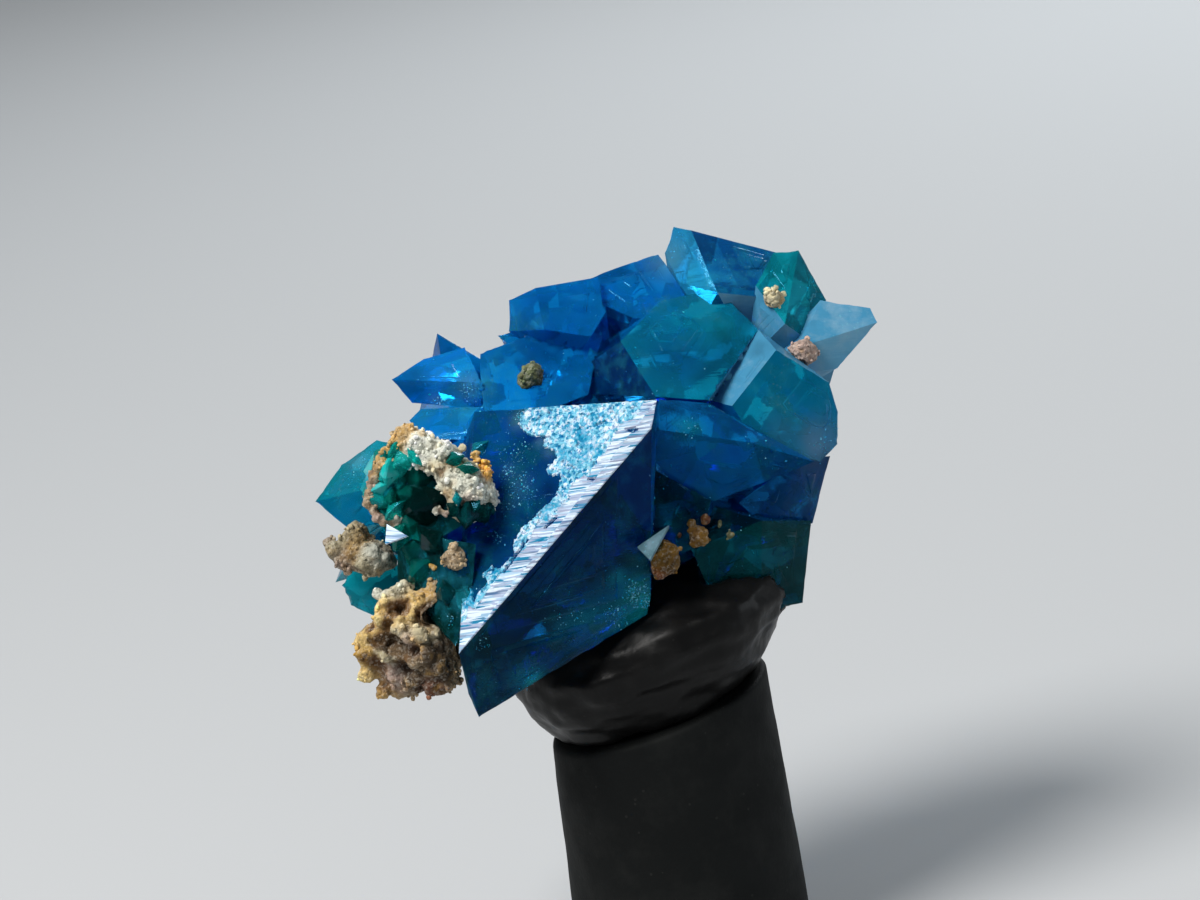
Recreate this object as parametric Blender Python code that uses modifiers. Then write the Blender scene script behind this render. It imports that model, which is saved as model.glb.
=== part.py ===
"""A cluster of blue liroconite crystals with crusts of gossan, fixed with black wax on a round post.

Lengths below are millimetres, and MM turns them into Blender's metres. +Z runs up along the post, and the
origin is the middle of the post's flat foot. The crystals are laid out as the photograph shows them: right,
up and back are measured from the middle of the picture, which looks down a little and leans to one side.
"""

import math
from typing import NamedTuple

import bmesh
import bpy
from mathutils import Euler, Matrix, Vector, noise
from mathutils.bvhtree import BVHTree

MM = 0.001

# The view that the layout is read in
VIEW_ELEVATION = 15.0
VIEW_ROLL = 9.0
VIEW_MIDDLE = (-0.32, 0.0, 9.35)
VIEW_DISTANCE = 76.6
VIEW_REACH = 10.0

# Angles of liroconite's two forms: how steeply their faces slope from the flat middle of a crystal
PRISM_SLOPE = 30.8
DOME_SLOPE = 37.4

# Post, wax and the space left between pieces that touch
POST_FOOT_DIAMETER = 4.16
POST_TOP_DIAMETER = 3.86
POST_HEIGHT = 4.75
POST_CUT_RISE = 12.0
POST_SIDES = 48
POST_EDGE = 0.10
GAP = 0.03

# Rounded pieces keep an edge crisp where its faces turn by more than this
SHARP_ANGLE = 40.0

# How much further a corner moves than its faces need, so that a grown crystal clears the real one
CORNER_GROWTH = 2.0

# Outline of the wax as (radius, height), from the middle of its underside to its top, before it is fitted
WAX_PROFILE = (
    (0.00, 0.00),
    (1.80, 0.00),
    (1.90, 0.06),
    (2.02, 0.30),
    (2.26, 0.60),
    (2.50, 0.95),
    (2.60, 1.30),
    (2.45, 1.65),
    (1.90, 2.00),
    (1.10, 2.30),
    (0.00, 2.40),
)
WAX_SIDES = 40
WAX_DEPTH = 0.86
WAX_LEAN = 0.28
WAX_LUMPINESS = 0.05
WAX_GRAIN = 1.3
WAX_EVEN_HEIGHT = 0.3


class Crystal(NamedTuple):
    """One crystal: its middle, its two widths across the sharp middle edges, and how it is turned.

    With no turn, the edge of length across lies level and the width through runs towards the viewer.
    roll turns it in the picture, tilt tips its flat side to the viewer, and yaw swings its right end back.
    """

    right: float
    up: float
    back: float
    across: float
    through: float
    roll: float
    tilt: float
    yaw: float


# Crystals that the picture shows: their corners, as (right, up, back), with a few behind to give them depth
FRONT_CRYSTAL = (
    (-2.40, -3.48, -2.70),
    (0.98, 0.85, -2.30),
    (0.88, 0.36, -2.40),
    (-2.13, 0.65, -0.75),
    (0.86, -2.55, -1.15),
    (0.80, -2.80, -1.05),
    (-2.06, -4.55, -1.90),
    (-2.24, -4.15, -2.15),
    (-2.75, -0.95, 0.10),
    (-2.05, -3.30, -0.30),
    (0.95, -1.00, 1.20),
    (-0.60, 0.70, 1.20),
    (0.70, -2.25, 0.50),
)
CRYSTALS_IN_VIEW = {
    "teal_body": (
        (0.35, 1.85, 0.00),
        (0.95, 0.90, -0.80),
        (1.85, 0.85, -0.78),
        (2.70, 2.05, 0.35),
        (2.00, 2.75, 0.92),
        (1.05, 2.55, 0.67),
        (-0.15, 0.95, 0.30),
        (-0.45, 1.30, 0.67),
        (0.30, 2.20, 2.00),
        (2.20, 2.40, 2.20),
        (1.00, 0.00, 1.60),
        (2.20, 0.80, 1.60),
    ),
    "azure_slab": (
        (-2.05, 1.65, 0.50),
        (-0.55, 2.20, 1.00),
        (0.05, 1.95, 0.80),
        (-0.20, 0.95, -0.05),
        (-1.40, 0.45, -0.50),
        (-2.00, 0.30, -0.64),
        (-1.70, 0.90, 1.90),
        (-0.60, 1.20, 2.20),
        (-1.20, 0.20, 1.40),
    ),
    "left_tip": (
        (-3.55, 1.20, 0.35),
        (-3.00, 1.55, 0.66),
        (-2.30, 1.75, 0.75),
        (-2.00, 1.15, -0.05),
        (-2.00, 0.70, 0.22),
        (-2.80, 0.78, 0.39),
        (-3.20, 0.80, 0.49),
        (-2.90, 1.20, 1.40),
        (-2.20, 1.10, 1.60),
    ),
    "left_shoulder": (
        (-3.05, 0.70, 0.20),
        (-2.00, 0.75, -0.30),
        (-1.95, 0.15, -0.70),
        (-3.00, 0.20, -0.30),
        (-3.25, 0.50, 0.20),
        (-2.60, 0.40, 1.00),
    ),
    "upper_left": (
        (-1.55, 2.02, 0.95),
        (-1.55, 2.55, 1.05),
        (-1.10, 2.76, 0.80),
        (-0.02, 2.95, 0.91),
        (0.10, 2.35, 0.45),
        (-0.15, 1.93, 0.13),
        (-0.95, 2.05, 0.25),
        (-0.70, 2.40, 2.20),
        (-1.10, 2.00, 1.80),
        (-0.60, 1.30, 1.40),
    ),
    "upper_middle": (
        (-0.32, 2.89, 1.15),
        (1.00, 3.35, 1.45),
        (1.45, 2.65, 0.82),
        (1.25, 2.20, 0.45),
        (0.55, 2.25, 0.55),
        (0.10, 2.45, 0.76),
        (0.70, 2.70, 2.50),
        (0.20, 1.50, 1.40),
        (1.20, 1.50, 1.40),
    ),
    "top": (
        (1.10, 3.35, 1.35),
        (1.25, 3.80, 1.46),
        (1.55, 3.74, 1.25),
        (3.05, 3.35, 1.68),
        (2.80, 2.60, 0.85),
        (2.00, 2.68, 0.50),
        (1.35, 2.85, 0.97),
        (1.80, 3.20, 2.80),
        (2.60, 3.00, 2.70),
        (1.40, 1.60, 1.40),
        (2.60, 1.60, 1.60),
    ),
    "top_right": (
        (2.95, 3.36, 1.08),
        (3.38, 3.40, 1.10),
        (3.85, 2.55, 1.46),
        (3.50, 1.90, 0.75),
        (3.15, 2.15, 0.35),
        (2.65, 2.80, 0.75),
        (3.20, 2.70, 2.40),
        (2.50, 1.50, 1.30),
        (3.30, 1.20, 1.50),
    ),
    "right_tip": (
        (3.75, 2.55, 0.95),
        (4.60, 2.42, 0.92),
        (4.72, 2.17, 0.75),
        (4.05, 1.40, 0.75),
        (3.50, 1.30, 0.55),
        (3.40, 1.75, 0.35),
        (3.80, 2.00, 1.90),
        (4.40, 2.10, 1.60),
        (2.90, 1.60, 1.10),
        (3.20, 0.90, 1.20),
    ),
    "right_wedge": (
        (2.70, 2.05, 0.34),
        (3.00, 1.70, -0.10),
        (2.25, 0.75, -0.60),
        (1.85, 0.85, -0.33),
        (3.90, 1.15, 0.08),
        (4.05, 0.65, 0.00),
        (4.05, 0.10, -0.13),
        (3.75, -0.20, -0.31),
        (2.70, 0.05, -0.62),
        (3.20, 1.30, 1.60),
        (3.70, 0.40, 1.60),
        (2.40, 0.40, 0.80),
    ),
    "right_step": (
        (0.90, 0.36, -1.50),
        (2.60, 0.12, -1.15),
        (3.65, -0.20, -0.80),
        (2.80, -0.55, -0.82),
        (1.95, -0.87, -0.80),
        (1.35, -0.70, -0.96),
        (0.95, -0.20, -1.24),
        (1.00, 0.88, -0.95),
        (1.85, 0.80, -0.73),
        (2.40, 0.45, -0.89),
        (1.70, 0.20, 0.80),
        (3.00, 0.00, 0.90),
    ),
    "right_side": (
        (2.35, -0.90, -0.70),
        (3.35, -0.15, -0.45),
        (3.92, -0.10, 0.20),
        (3.62, -1.25, 0.25),
        (2.95, -1.40, -0.25),
        (3.20, -0.70, 1.70),
    ),
    "lower_right": (
        (1.95, -0.95, -0.60),
        (2.75, -1.20, -0.70),
        (3.60, -1.20, 0.10),
        (3.45, -2.60, 0.35),
        (2.75, -2.80, -0.15),
        (1.90, -2.50, -0.45),
        (1.55, -1.70, -0.85),
        (2.70, -1.90, 1.80),
        (2.00, -2.50, 1.00),
    ),
    "shaded": (
        (0.95, -0.35, -1.30),
        (1.90, -0.85, -0.90),
        (1.70, -1.65, -1.00),
        (1.00, -1.90, -1.20),
        (0.75, -1.35, -1.30),
        (1.50, -1.20, 1.00),
    ),
    "small_triangle": (
        (1.15, -1.25, -1.40),
        (0.63, -1.63, -1.75),
        (0.83, -1.90, -1.60),
        (0.90, -1.65, -1.95),
        (1.00, -1.75, -1.10),
        (0.75, -1.45, -1.10),
    ),
    "left_end": (
        (-4.85, -0.88, -0.35),
        (-4.40, -0.25, -0.15),
        (-3.80, 0.17, 0.05),
        (-3.40, 0.10, -0.10),
        (-3.50, -0.55, -0.95),
        (-3.50, -1.20, -0.80),
        (-4.25, -1.37, -0.55),
        (-4.10, -0.50, 0.70),
        (-3.40, -0.90, 0.60),
        (-2.80, -0.40, -0.20),
    ),
    "left_foot": (
        (-4.40, -2.30, -0.45),
        (-4.20, -2.00, -0.50),
        (-3.60, -1.90, -0.90),
        (-3.50, -2.40, -0.95),
        (-3.80, -2.85, -0.60),
        (-4.25, -2.65, -0.40),
        (-3.90, -2.40, 0.40),
        (-3.20, -2.00, 0.30),
        (-2.60, -2.30, -0.80),
    ),
    "green_host": (
        (-3.75, -0.30, -1.55),
        (-3.90, -0.85, -1.40),
        (-3.65, -1.40, -1.60),
        (-2.90, -1.60, -1.90),
        (-2.20, -1.20, -2.10),
        (-2.00, -0.35, -1.80),
        (-2.90, 0.15, -1.20),
        (-3.40, 0.05, -1.25),
        (-2.90, -0.70, -0.20),
        (-3.40, -1.20, -0.20),
    ),
    "green_side": (
        (-3.45, -1.65, -1.40),
        (-2.70, -1.50, -2.00),
        (-2.10, -1.60, -2.20),
        (-2.20, -2.55, -2.30),
        (-2.45, -3.35, -2.40),
        (-2.90, -2.90, -1.80),
        (-3.45, -2.20, -1.40),
        (-2.90, -2.20, -0.30),
    ),
    "middle_of_cluster": (
        (-3.60, -0.60, 0.00),
        (-2.60, 0.60, 0.40),
        (-0.50, 1.50, 0.90),
        (2.50, 1.80, 1.10),
        (3.30, 0.80, 0.80),
        (3.10, -1.20, 0.70),
        (2.20, -2.10, 0.50),
        (0.50, -1.90, -0.40),
        (-1.80, -2.60, 0.20),
        (-3.20, -2.00, -0.20),
        (-1.20, 0.00, 2.60),
        (1.60, 0.20, 2.80),
        (0.40, -1.20, 2.40),
    ),
}

# Crystals round the back, which only need to look like the others
CRYSTALS_BEHIND = (
    Crystal(-2.90, -0.60, 1.30, 2.3, 2.3, 20, 20, 200),
    Crystal(-1.90, 0.70, 2.00, 2.5, 2.4, -30, 35, 170),
    Crystal(-1.50, -1.60, 1.60, 2.6, 2.4, 40, -10, 190),
    Crystal(-0.20, 1.50, 2.40, 2.4, 2.4, 15, 45, 160),
    Crystal(0.30, -0.30, 2.80, 2.8, 2.6, -55, 25, 180),
    Crystal(0.60, -2.00, 1.80, 2.2, 2.2, 10, -35, 200),
    Crystal(1.60, 1.80, 2.60, 2.4, 2.2, 35, 15, 150),
    Crystal(2.30, 0.20, 2.50, 2.6, 2.4, -20, 30, 165),
    Crystal(2.30, -1.30, 1.90, 2.2, 2.1, -15, -20, 165),
    Crystal(3.10, 1.40, 2.00, 1.8, 1.8, -25, 40, 170),
    Crystal(-3.80, -1.60, 0.30, 1.4, 1.5, 35, 10, 210),
)

# Lumps of gossan: balls that melt together, as (right, up, back, radius)
LUMPS = {
    "gossan_crust": (
        (-3.30, 0.25, -1.75, 0.24),
        (-3.10, 0.02, -1.85, 0.30),
        (-2.75, -0.12, -1.95, 0.34),
        (-2.45, -0.40, -2.05, 0.38),
        (-2.15, -0.60, -2.05, 0.32),
        (-2.35, -0.95, -2.15, 0.32),
        (-1.95, -0.80, -1.95, 0.24),
        (-3.55, -0.30, -1.60, 0.26),
        (-3.65, -0.75, -1.55, 0.24),
        (-3.45, -1.15, -1.60, 0.24),
    ),
    "gossan_lump": (
        (-2.72, -2.25, -1.85, 0.20),
        (-2.80, -2.60, -1.80, 0.32),
        (-3.35, -2.75, -1.60, 0.45),
        (-3.65, -3.35, -1.45, 0.50),
        (-3.05, -3.20, -1.65, 0.52),
        (-3.35, -3.80, -1.35, 0.42),
        (-2.80, -3.75, -1.60, 0.42),
        (-2.45, -3.30, -1.55, 0.38),
    ),
    "gossan_bud": (
        (-4.42, -1.75, -0.95, 0.25),
        (-4.12, -1.45, -1.00, 0.24),
        (-3.98, -1.85, -1.05, 0.34),
        (-3.65, -1.88, -1.05, 0.26),
    ),
}
LUMP_VOXEL = 0.15
LUMP_ROUGHNESS = 0.10
LUMP_GRAIN = 0.45

# Single grains of gossan, each resting where the picture shows it on the crystals, as (right, up, radius)
GRAINS = (
    (-2.46, -1.82, 0.20),
    (-1.17, 1.24, 0.22),
    (2.93, 2.55, 0.18),
    (3.42, 1.62, 0.26),
    (1.08, -1.84, 0.32),
    (1.66, -1.46, 0.20),
)
GRAIN_SINK = 0.35
GRAIN_ROUGHNESS = 0.5
GRAIN_BUMP_SIZE = 0.22


def view_axes():
    """The picture's right, up and back directions in the row frame."""
    lift = math.radians(VIEW_ELEVATION)
    roll = math.radians(VIEW_ROLL)
    level = Vector((1.0, 0.0, 0.0))
    upright = Vector((0.0, math.sin(lift), math.cos(lift)))
    right = math.cos(roll) * level - math.sin(roll) * upright
    up = math.sin(roll) * level + math.cos(roll) * upright
    back = Vector((0.0, math.cos(lift), -math.sin(lift)))
    return right, up, back


def seen(right, up, back):
    """The point in the row frame that the picture shows at right and up, and back behind the post's axis.

    right and up are read on the plane of the post's axis, so what lies behind it spreads a little.
    """
    x_axis, y_axis, z_axis = view_axes()
    spread = 1.0 + back / VIEW_DISTANCE
    return Vector(VIEW_MIDDLE) + spread * (right * x_axis + up * y_axis) + back * z_axis


def turned(roll, tilt, yaw):
    """The rotation of a piece that the picture shows rolled, tilted and swung by these degrees."""
    right, up, back = view_axes()
    picture = Matrix((right, up, -back)).transposed()
    turn = Euler((0.0, 0.0, math.radians(roll))).to_matrix()
    turn = turn @ Euler((0.0, math.radians(yaw), 0.0)).to_matrix()
    turn = turn @ Euler((math.radians(tilt), 0.0, 0.0)).to_matrix()
    return picture @ turn


def clear_scene():
    """Removes what the startup scene holds."""
    for found in list(bpy.data.objects):
        bpy.data.objects.remove(found)


def collection(name, hidden=False):
    """A new collection in the scene."""
    made = bpy.data.collections.new(name)
    made.hide_render = hidden
    bpy.context.scene.collection.children.link(made)
    return made


def material(name, colour, roughness, transmission=0.0):
    """A plain material for one kind of piece."""
    made = bpy.data.materials.new(name)
    made.use_nodes = True
    shader = made.node_tree.nodes["Principled BSDF"]
    shader.inputs["Base Color"].default_value = (*colour, 1.0)
    shader.inputs["Roughness"].default_value = roughness
    shader.inputs["Transmission Weight"].default_value = transmission
    made.diffuse_color = (*colour, 1.0)
    return made


def object_from(name, bm, home):
    """A mesh object from bm, in millimetres, scaled to metres, in the collection home."""
    bmesh.ops.scale(bm, vec=(MM, MM, MM), verts=bm.verts)
    bmesh.ops.recalc_face_normals(bm, faces=bm.faces)
    mesh = bpy.data.meshes.new(name)
    bm.to_mesh(mesh)
    bm.free()
    made = bpy.data.objects.new(name, mesh)
    home.objects.link(made)
    return made


def as_helper(made):
    """Marks an object as a cutter or a guide, which isn't a piece."""
    made.hide_render = True
    made.display_type = "WIRE"
    return made


def boolean(target, other, operation):
    """Joins other to target, or cuts it away."""
    made = target.modifiers.new(operation.title(), "BOOLEAN")
    made.operation = operation
    made.object = other
    made.solver = "EXACT"


def cut_by_plane(bm, point, normal):
    """Cuts away what lies beyond the plane and closes the cut."""
    bmesh.ops.bisect_plane(
        bm,
        geom=bm.verts[:] + bm.edges[:] + bm.faces[:],
        plane_co=point,
        plane_no=normal,
        clear_outer=True,
        dist=1e-5,
    )
    bmesh.ops.holes_fill(bm, edges=[edge for edge in bm.edges if edge.is_boundary])


def crystal_mesh(crystal, grow=0.0):
    """A crystal of liroconite: a block cut by its four prism faces and its four dome faces."""
    prism, dome = math.radians(PRISM_SLOPE), math.radians(DOME_SLOPE)
    bm = bmesh.new()
    bmesh.ops.create_cube(bm, size=2.0 * (crystal.across + crystal.through))
    for flat_side in (1.0, -1.0):
        for end in (1.0, -1.0):
            normal = Vector((0.0, flat_side * math.cos(prism), end * math.sin(prism)))
            reach = 0.5 * crystal.through * math.sin(prism) + grow
            cut_by_plane(bm, normal * reach, normal)
            normal = Vector((end * math.sin(dome), flat_side * math.cos(dome), 0.0))
            reach = 0.5 * crystal.across * math.sin(dome) + grow
            cut_by_plane(bm, normal * reach, normal)
    place = Matrix.Translation(seen(crystal.right, crystal.up, crystal.back))
    turn = turned(crystal.roll, crystal.tilt, crystal.yaw).to_4x4()
    bmesh.ops.transform(bm, matrix=place @ turn, verts=bm.verts)
    return bm


def hull_mesh(corners, grow=0.0):
    """The smallest convex solid round these corners, grown outwards on every side."""
    points = [seen(*corner) for corner in corners]
    middle = sum(points, Vector()) / len(points)
    bm = bmesh.new()
    for point in points:
        bm.verts.new(point + grow * CORNER_GROWTH * (point - middle).normalized())
    bmesh.ops.convex_hull(bm, input=bm.verts)
    loose = [vert for vert in bm.verts if not vert.link_faces]
    bmesh.ops.delete(bm, geom=loose, context="VERTS")
    return bm


def cluster(name, home, helpers, grow=0.0):
    """The crystals grown together, joined in one solid. grow makes the cutter that leaves the gap."""
    made = object_from(name, hull_mesh(FRONT_CRYSTAL, grow), home)
    meshes = {place: hull_mesh(corners, grow) for place, corners in CRYSTALS_IN_VIEW.items()}
    for number, crystal in enumerate(CRYSTALS_BEHIND, 1):
        meshes[f"behind_{number:02d}"] = crystal_mesh(crystal, grow)
    for place, mesh in meshes.items():
        other = as_helper(object_from(f"{name}_{place}", mesh, helpers))
        boolean(made, other, "UNION")
    return made


def solidified(made):
    """The object with its modifiers worked out and stored in its own mesh."""
    graph = bpy.context.evaluated_depsgraph_get()
    mesh = bpy.data.meshes.new_from_object(made.evaluated_get(graph))
    made.modifiers.clear()
    made.data = mesh
    return made


def smooth(made):
    """Shades a rounded piece smooth, but keeps its sharp edges crisp."""
    made.data.shade_smooth()
    made.data.set_sharp_from_angle(angle=math.radians(SHARP_ANGLE))


def keep_largest(made):
    """Deletes every loose crumb that a cut left, and keeps the largest piece."""
    bm = bmesh.new()
    bm.from_mesh(made.data)
    waiting = set(bm.verts)
    pieces = []
    while waiting:
        piece = set()
        edge_of_search = [waiting.pop()]
        while edge_of_search:
            vert = edge_of_search.pop()
            piece.add(vert)
            near = {edge.other_vert(vert) for edge in vert.link_edges} & waiting
            waiting -= near
            edge_of_search.extend(near)
        pieces.append(piece)
    pieces.sort(key=len)
    crumbs = [vert for piece in pieces[:-1] for vert in piece]
    bmesh.ops.delete(bm, geom=crumbs, context="VERTS")
    bm.to_mesh(made.data)
    bm.free()


def lump(name, balls, home, cutter):
    """Balls of gossan melted together, with a rough skin, fitted against the crystals."""
    bm = bmesh.new()
    for right, up, back, radius in balls:
        place = Matrix.Translation(seen(right, up, back))
        bmesh.ops.create_icosphere(bm, subdivisions=3, radius=radius, matrix=place)
    made = object_from(name, bm, home)
    melt = made.modifiers.new("Melt", "REMESH")
    melt.mode = "VOXEL"
    melt.voxel_size = LUMP_VOXEL * MM
    solidified(made)
    for vert in made.data.vertices:
        bump = noise.noise(vert.co / (LUMP_GRAIN * MM))
        vert.co += vert.normal * bump * LUMP_ROUGHNESS * MM
    boolean(made, cutter, "DIFFERENCE")
    solidified(made)
    keep_largest(made)
    smooth(made)
    return made


def on_crystals(crystals, right, up):
    """The point of the crystals that the picture shows at right and up."""
    tree = BVHTree.FromObject(crystals, bpy.context.evaluated_depsgraph_get())
    start = seen(right, up, -VIEW_REACH) * MM
    direction = seen(right, up, VIEW_REACH) * MM - start
    found = tree.ray_cast(start, direction.normalized())[0]
    return found / MM


def grain(name, place, home, crystals, cutter):
    """One small grain of gossan on a crystal's face."""
    right, up, radius = place
    towards_viewer = -view_axes()[2]
    middle = on_crystals(crystals, right, up) + towards_viewer * radius * GRAIN_SINK
    bm = bmesh.new()
    bmesh.ops.create_icosphere(bm, subdivisions=2, radius=radius, matrix=Matrix.Translation(middle))
    for vert in bm.verts:
        vert.co += (vert.co - middle) * noise.noise(vert.co / GRAIN_BUMP_SIZE) * GRAIN_ROUGHNESS
    made = object_from(name, bm, home)
    boolean(made, cutter, "DIFFERENCE")
    solidified(made)
    keep_largest(made)
    smooth(made)
    return made


def post_top():
    """A point on the slanted top of the post, and the way that it faces."""
    slant = math.radians(POST_CUT_RISE)
    return Vector((0.0, 0.0, POST_HEIGHT)), Vector((-math.sin(slant), 0.0, math.cos(slant)))


def post(home):
    """The round post, narrower upwards, with a level foot and a top cut on a slant that rises to the right."""
    taper = (POST_FOOT_DIAMETER - POST_TOP_DIAMETER) / POST_HEIGHT
    blank_height = 1.5 * POST_HEIGHT
    bm = bmesh.new()
    bmesh.ops.create_cone(
        bm,
        cap_ends=True,
        segments=POST_SIDES,
        radius1=0.5 * POST_FOOT_DIAMETER,
        radius2=0.5 * (POST_FOOT_DIAMETER - taper * blank_height),
        depth=blank_height,
        matrix=Matrix.Translation((0.0, 0.0, 0.5 * blank_height)),
    )
    cut_by_plane(bm, *post_top())
    made = object_from("post", bm, home)
    rounding = made.modifiers.new("Rounded edges", "BEVEL")
    rounding.width = POST_EDGE * MM
    rounding.segments = 2
    rounding.angle_limit = math.radians(60.0)
    solidified(made)
    smooth(made)
    return made


def wax(home, cutter):
    """The dab of black wax that holds the crystals: it spreads upwards from the post's slanted top."""
    outline = bpy.data.meshes.new("wax_outline")
    bm = bmesh.new()
    corners = [bm.verts.new((radius * MM, 0.0, height * MM)) for radius, height in reversed(WAX_PROFILE)]
    for start, end in zip(corners, corners[1:]):
        bm.edges.new((start, end))
    bm.to_mesh(outline)
    bm.free()
    made = bpy.data.objects.new("mounting_wax", outline)
    home.objects.link(made)
    turning = made.modifiers.new("Turned", "SCREW")
    turning.steps = WAX_SIDES
    turning.render_steps = WAX_SIDES
    turning.use_merge_vertices = True
    turning.merge_threshold = 0.0001 * MM
    solidified(made)
    point, facing = post_top()
    turn = Matrix.Rotation(-math.radians(POST_CUT_RISE), 4, "Y")
    place = Matrix.Translation((point + GAP * facing) * MM) @ turn
    for vert in made.data.vertices:
        height = vert.co.z
        bump = noise.noise(vert.co / (WAX_GRAIN * MM)) * WAX_LUMPINESS
        spread = 1.0 + bump * min(1.0, height / (WAX_EVEN_HEIGHT * MM))
        vert.co = Vector((vert.co.x * spread + WAX_LEAN * height, vert.co.y * spread * WAX_DEPTH, height))
    made.data.transform(place)
    boolean(made, cutter, "DIFFERENCE")
    solidified(made)
    keep_largest(made)
    smooth(made)
    return made


def dress(made, finish):
    """Gives the object its one material."""
    made.data.materials.clear()
    made.data.materials.append(finish)


def main():
    """Builds every piece."""
    clear_scene()
    pieces = collection("liroconite")
    helpers = collection("cutters", hidden=True)
    lump_finishes = {
        "gossan_crust": material("cream_crust", (0.70, 0.60, 0.48), 0.95),
        "gossan_lump": material("brown_gossan", (0.42, 0.27, 0.16), 0.9),
        "gossan_bud": material("beige_gossan", (0.66, 0.52, 0.40), 0.92),
    }
    grain_finish = material("tan_grain", (0.52, 0.40, 0.24), 0.9)

    crystals = solidified(cluster("liroconite_crystals", pieces, helpers))
    dress(crystals, material("liroconite_blue", (0.02, 0.22, 0.62), 0.12, 0.8))
    cutter = as_helper(solidified(cluster("crystal_cutter", helpers, helpers, GAP)))

    for name, balls in LUMPS.items():
        dress(lump(name, balls, pieces, cutter), lump_finishes[name])
    for number, place in enumerate(GRAINS, 1):
        dress(grain(f"gossan_grain_{number}", place, pieces, crystals, cutter), grain_finish)
    dress(wax(pieces, cutter), material("black_wax", (0.012, 0.013, 0.013), 0.5))
    dress(post(pieces), material("dark_post", (0.025, 0.024, 0.023), 0.75))


main()
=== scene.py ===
"""The looks of a liroconite specimen: blue crystals and crusts of gossan, held by black wax on a dark post.

Places are laid out in the photograph's view: right, up and back are millimetres from the middle of the view,
measured on the plane of the post's axis, and View.seen turns them into the model's metres.
"""

import logging
import math
from dataclasses import dataclass, field
from enum import Enum
from typing import TypeVar

import bmesh
import bpy
import numpy as np
from bmesh.types import BMFace, BMesh
from bpy.types import Material, Mesh, Node, NodeTree, Object
from mathutils import Matrix, Vector, geometry, noise
from mathutils.bvhtree import BVHTree
from mathutils.kdtree import KDTree

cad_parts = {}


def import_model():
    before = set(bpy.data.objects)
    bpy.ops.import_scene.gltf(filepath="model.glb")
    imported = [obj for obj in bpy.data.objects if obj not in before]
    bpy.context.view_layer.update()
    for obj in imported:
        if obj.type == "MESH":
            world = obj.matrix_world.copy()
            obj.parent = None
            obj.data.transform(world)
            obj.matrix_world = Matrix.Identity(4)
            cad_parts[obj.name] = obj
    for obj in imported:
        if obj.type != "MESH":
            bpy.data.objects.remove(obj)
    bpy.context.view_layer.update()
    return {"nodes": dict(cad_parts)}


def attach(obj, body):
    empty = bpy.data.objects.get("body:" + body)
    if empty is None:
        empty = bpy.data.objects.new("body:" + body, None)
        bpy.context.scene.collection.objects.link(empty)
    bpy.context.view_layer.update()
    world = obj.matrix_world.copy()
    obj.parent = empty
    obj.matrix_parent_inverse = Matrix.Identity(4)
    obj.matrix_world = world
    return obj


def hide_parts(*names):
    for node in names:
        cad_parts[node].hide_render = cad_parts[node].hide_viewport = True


LOG = logging.getLogger("liroconite")

MM = 0.001
BODY = "root"

Array = np.ndarray
Arrays = tuple[Array, ...]
Pair = tuple[float, float]
Triple = tuple[float, float, float]
Colour = Triple
Socket = bpy.types.NodeSocket
Inputs = dict[object, object]
Row = TypeVar("Row")

BLACK = (0.0, 0.0, 0.0)
GREY = (0.5, 0.5, 0.5)
WHITE = (1.0, 1.0, 1.0)

TINY = 1e-9


def each(kind: type[Row], *rows: tuple[object, ...]) -> tuple[Row, ...]:
    """An object of one class for each row of its fields' values."""
    return tuple(kind(*row) for row in rows)


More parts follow.
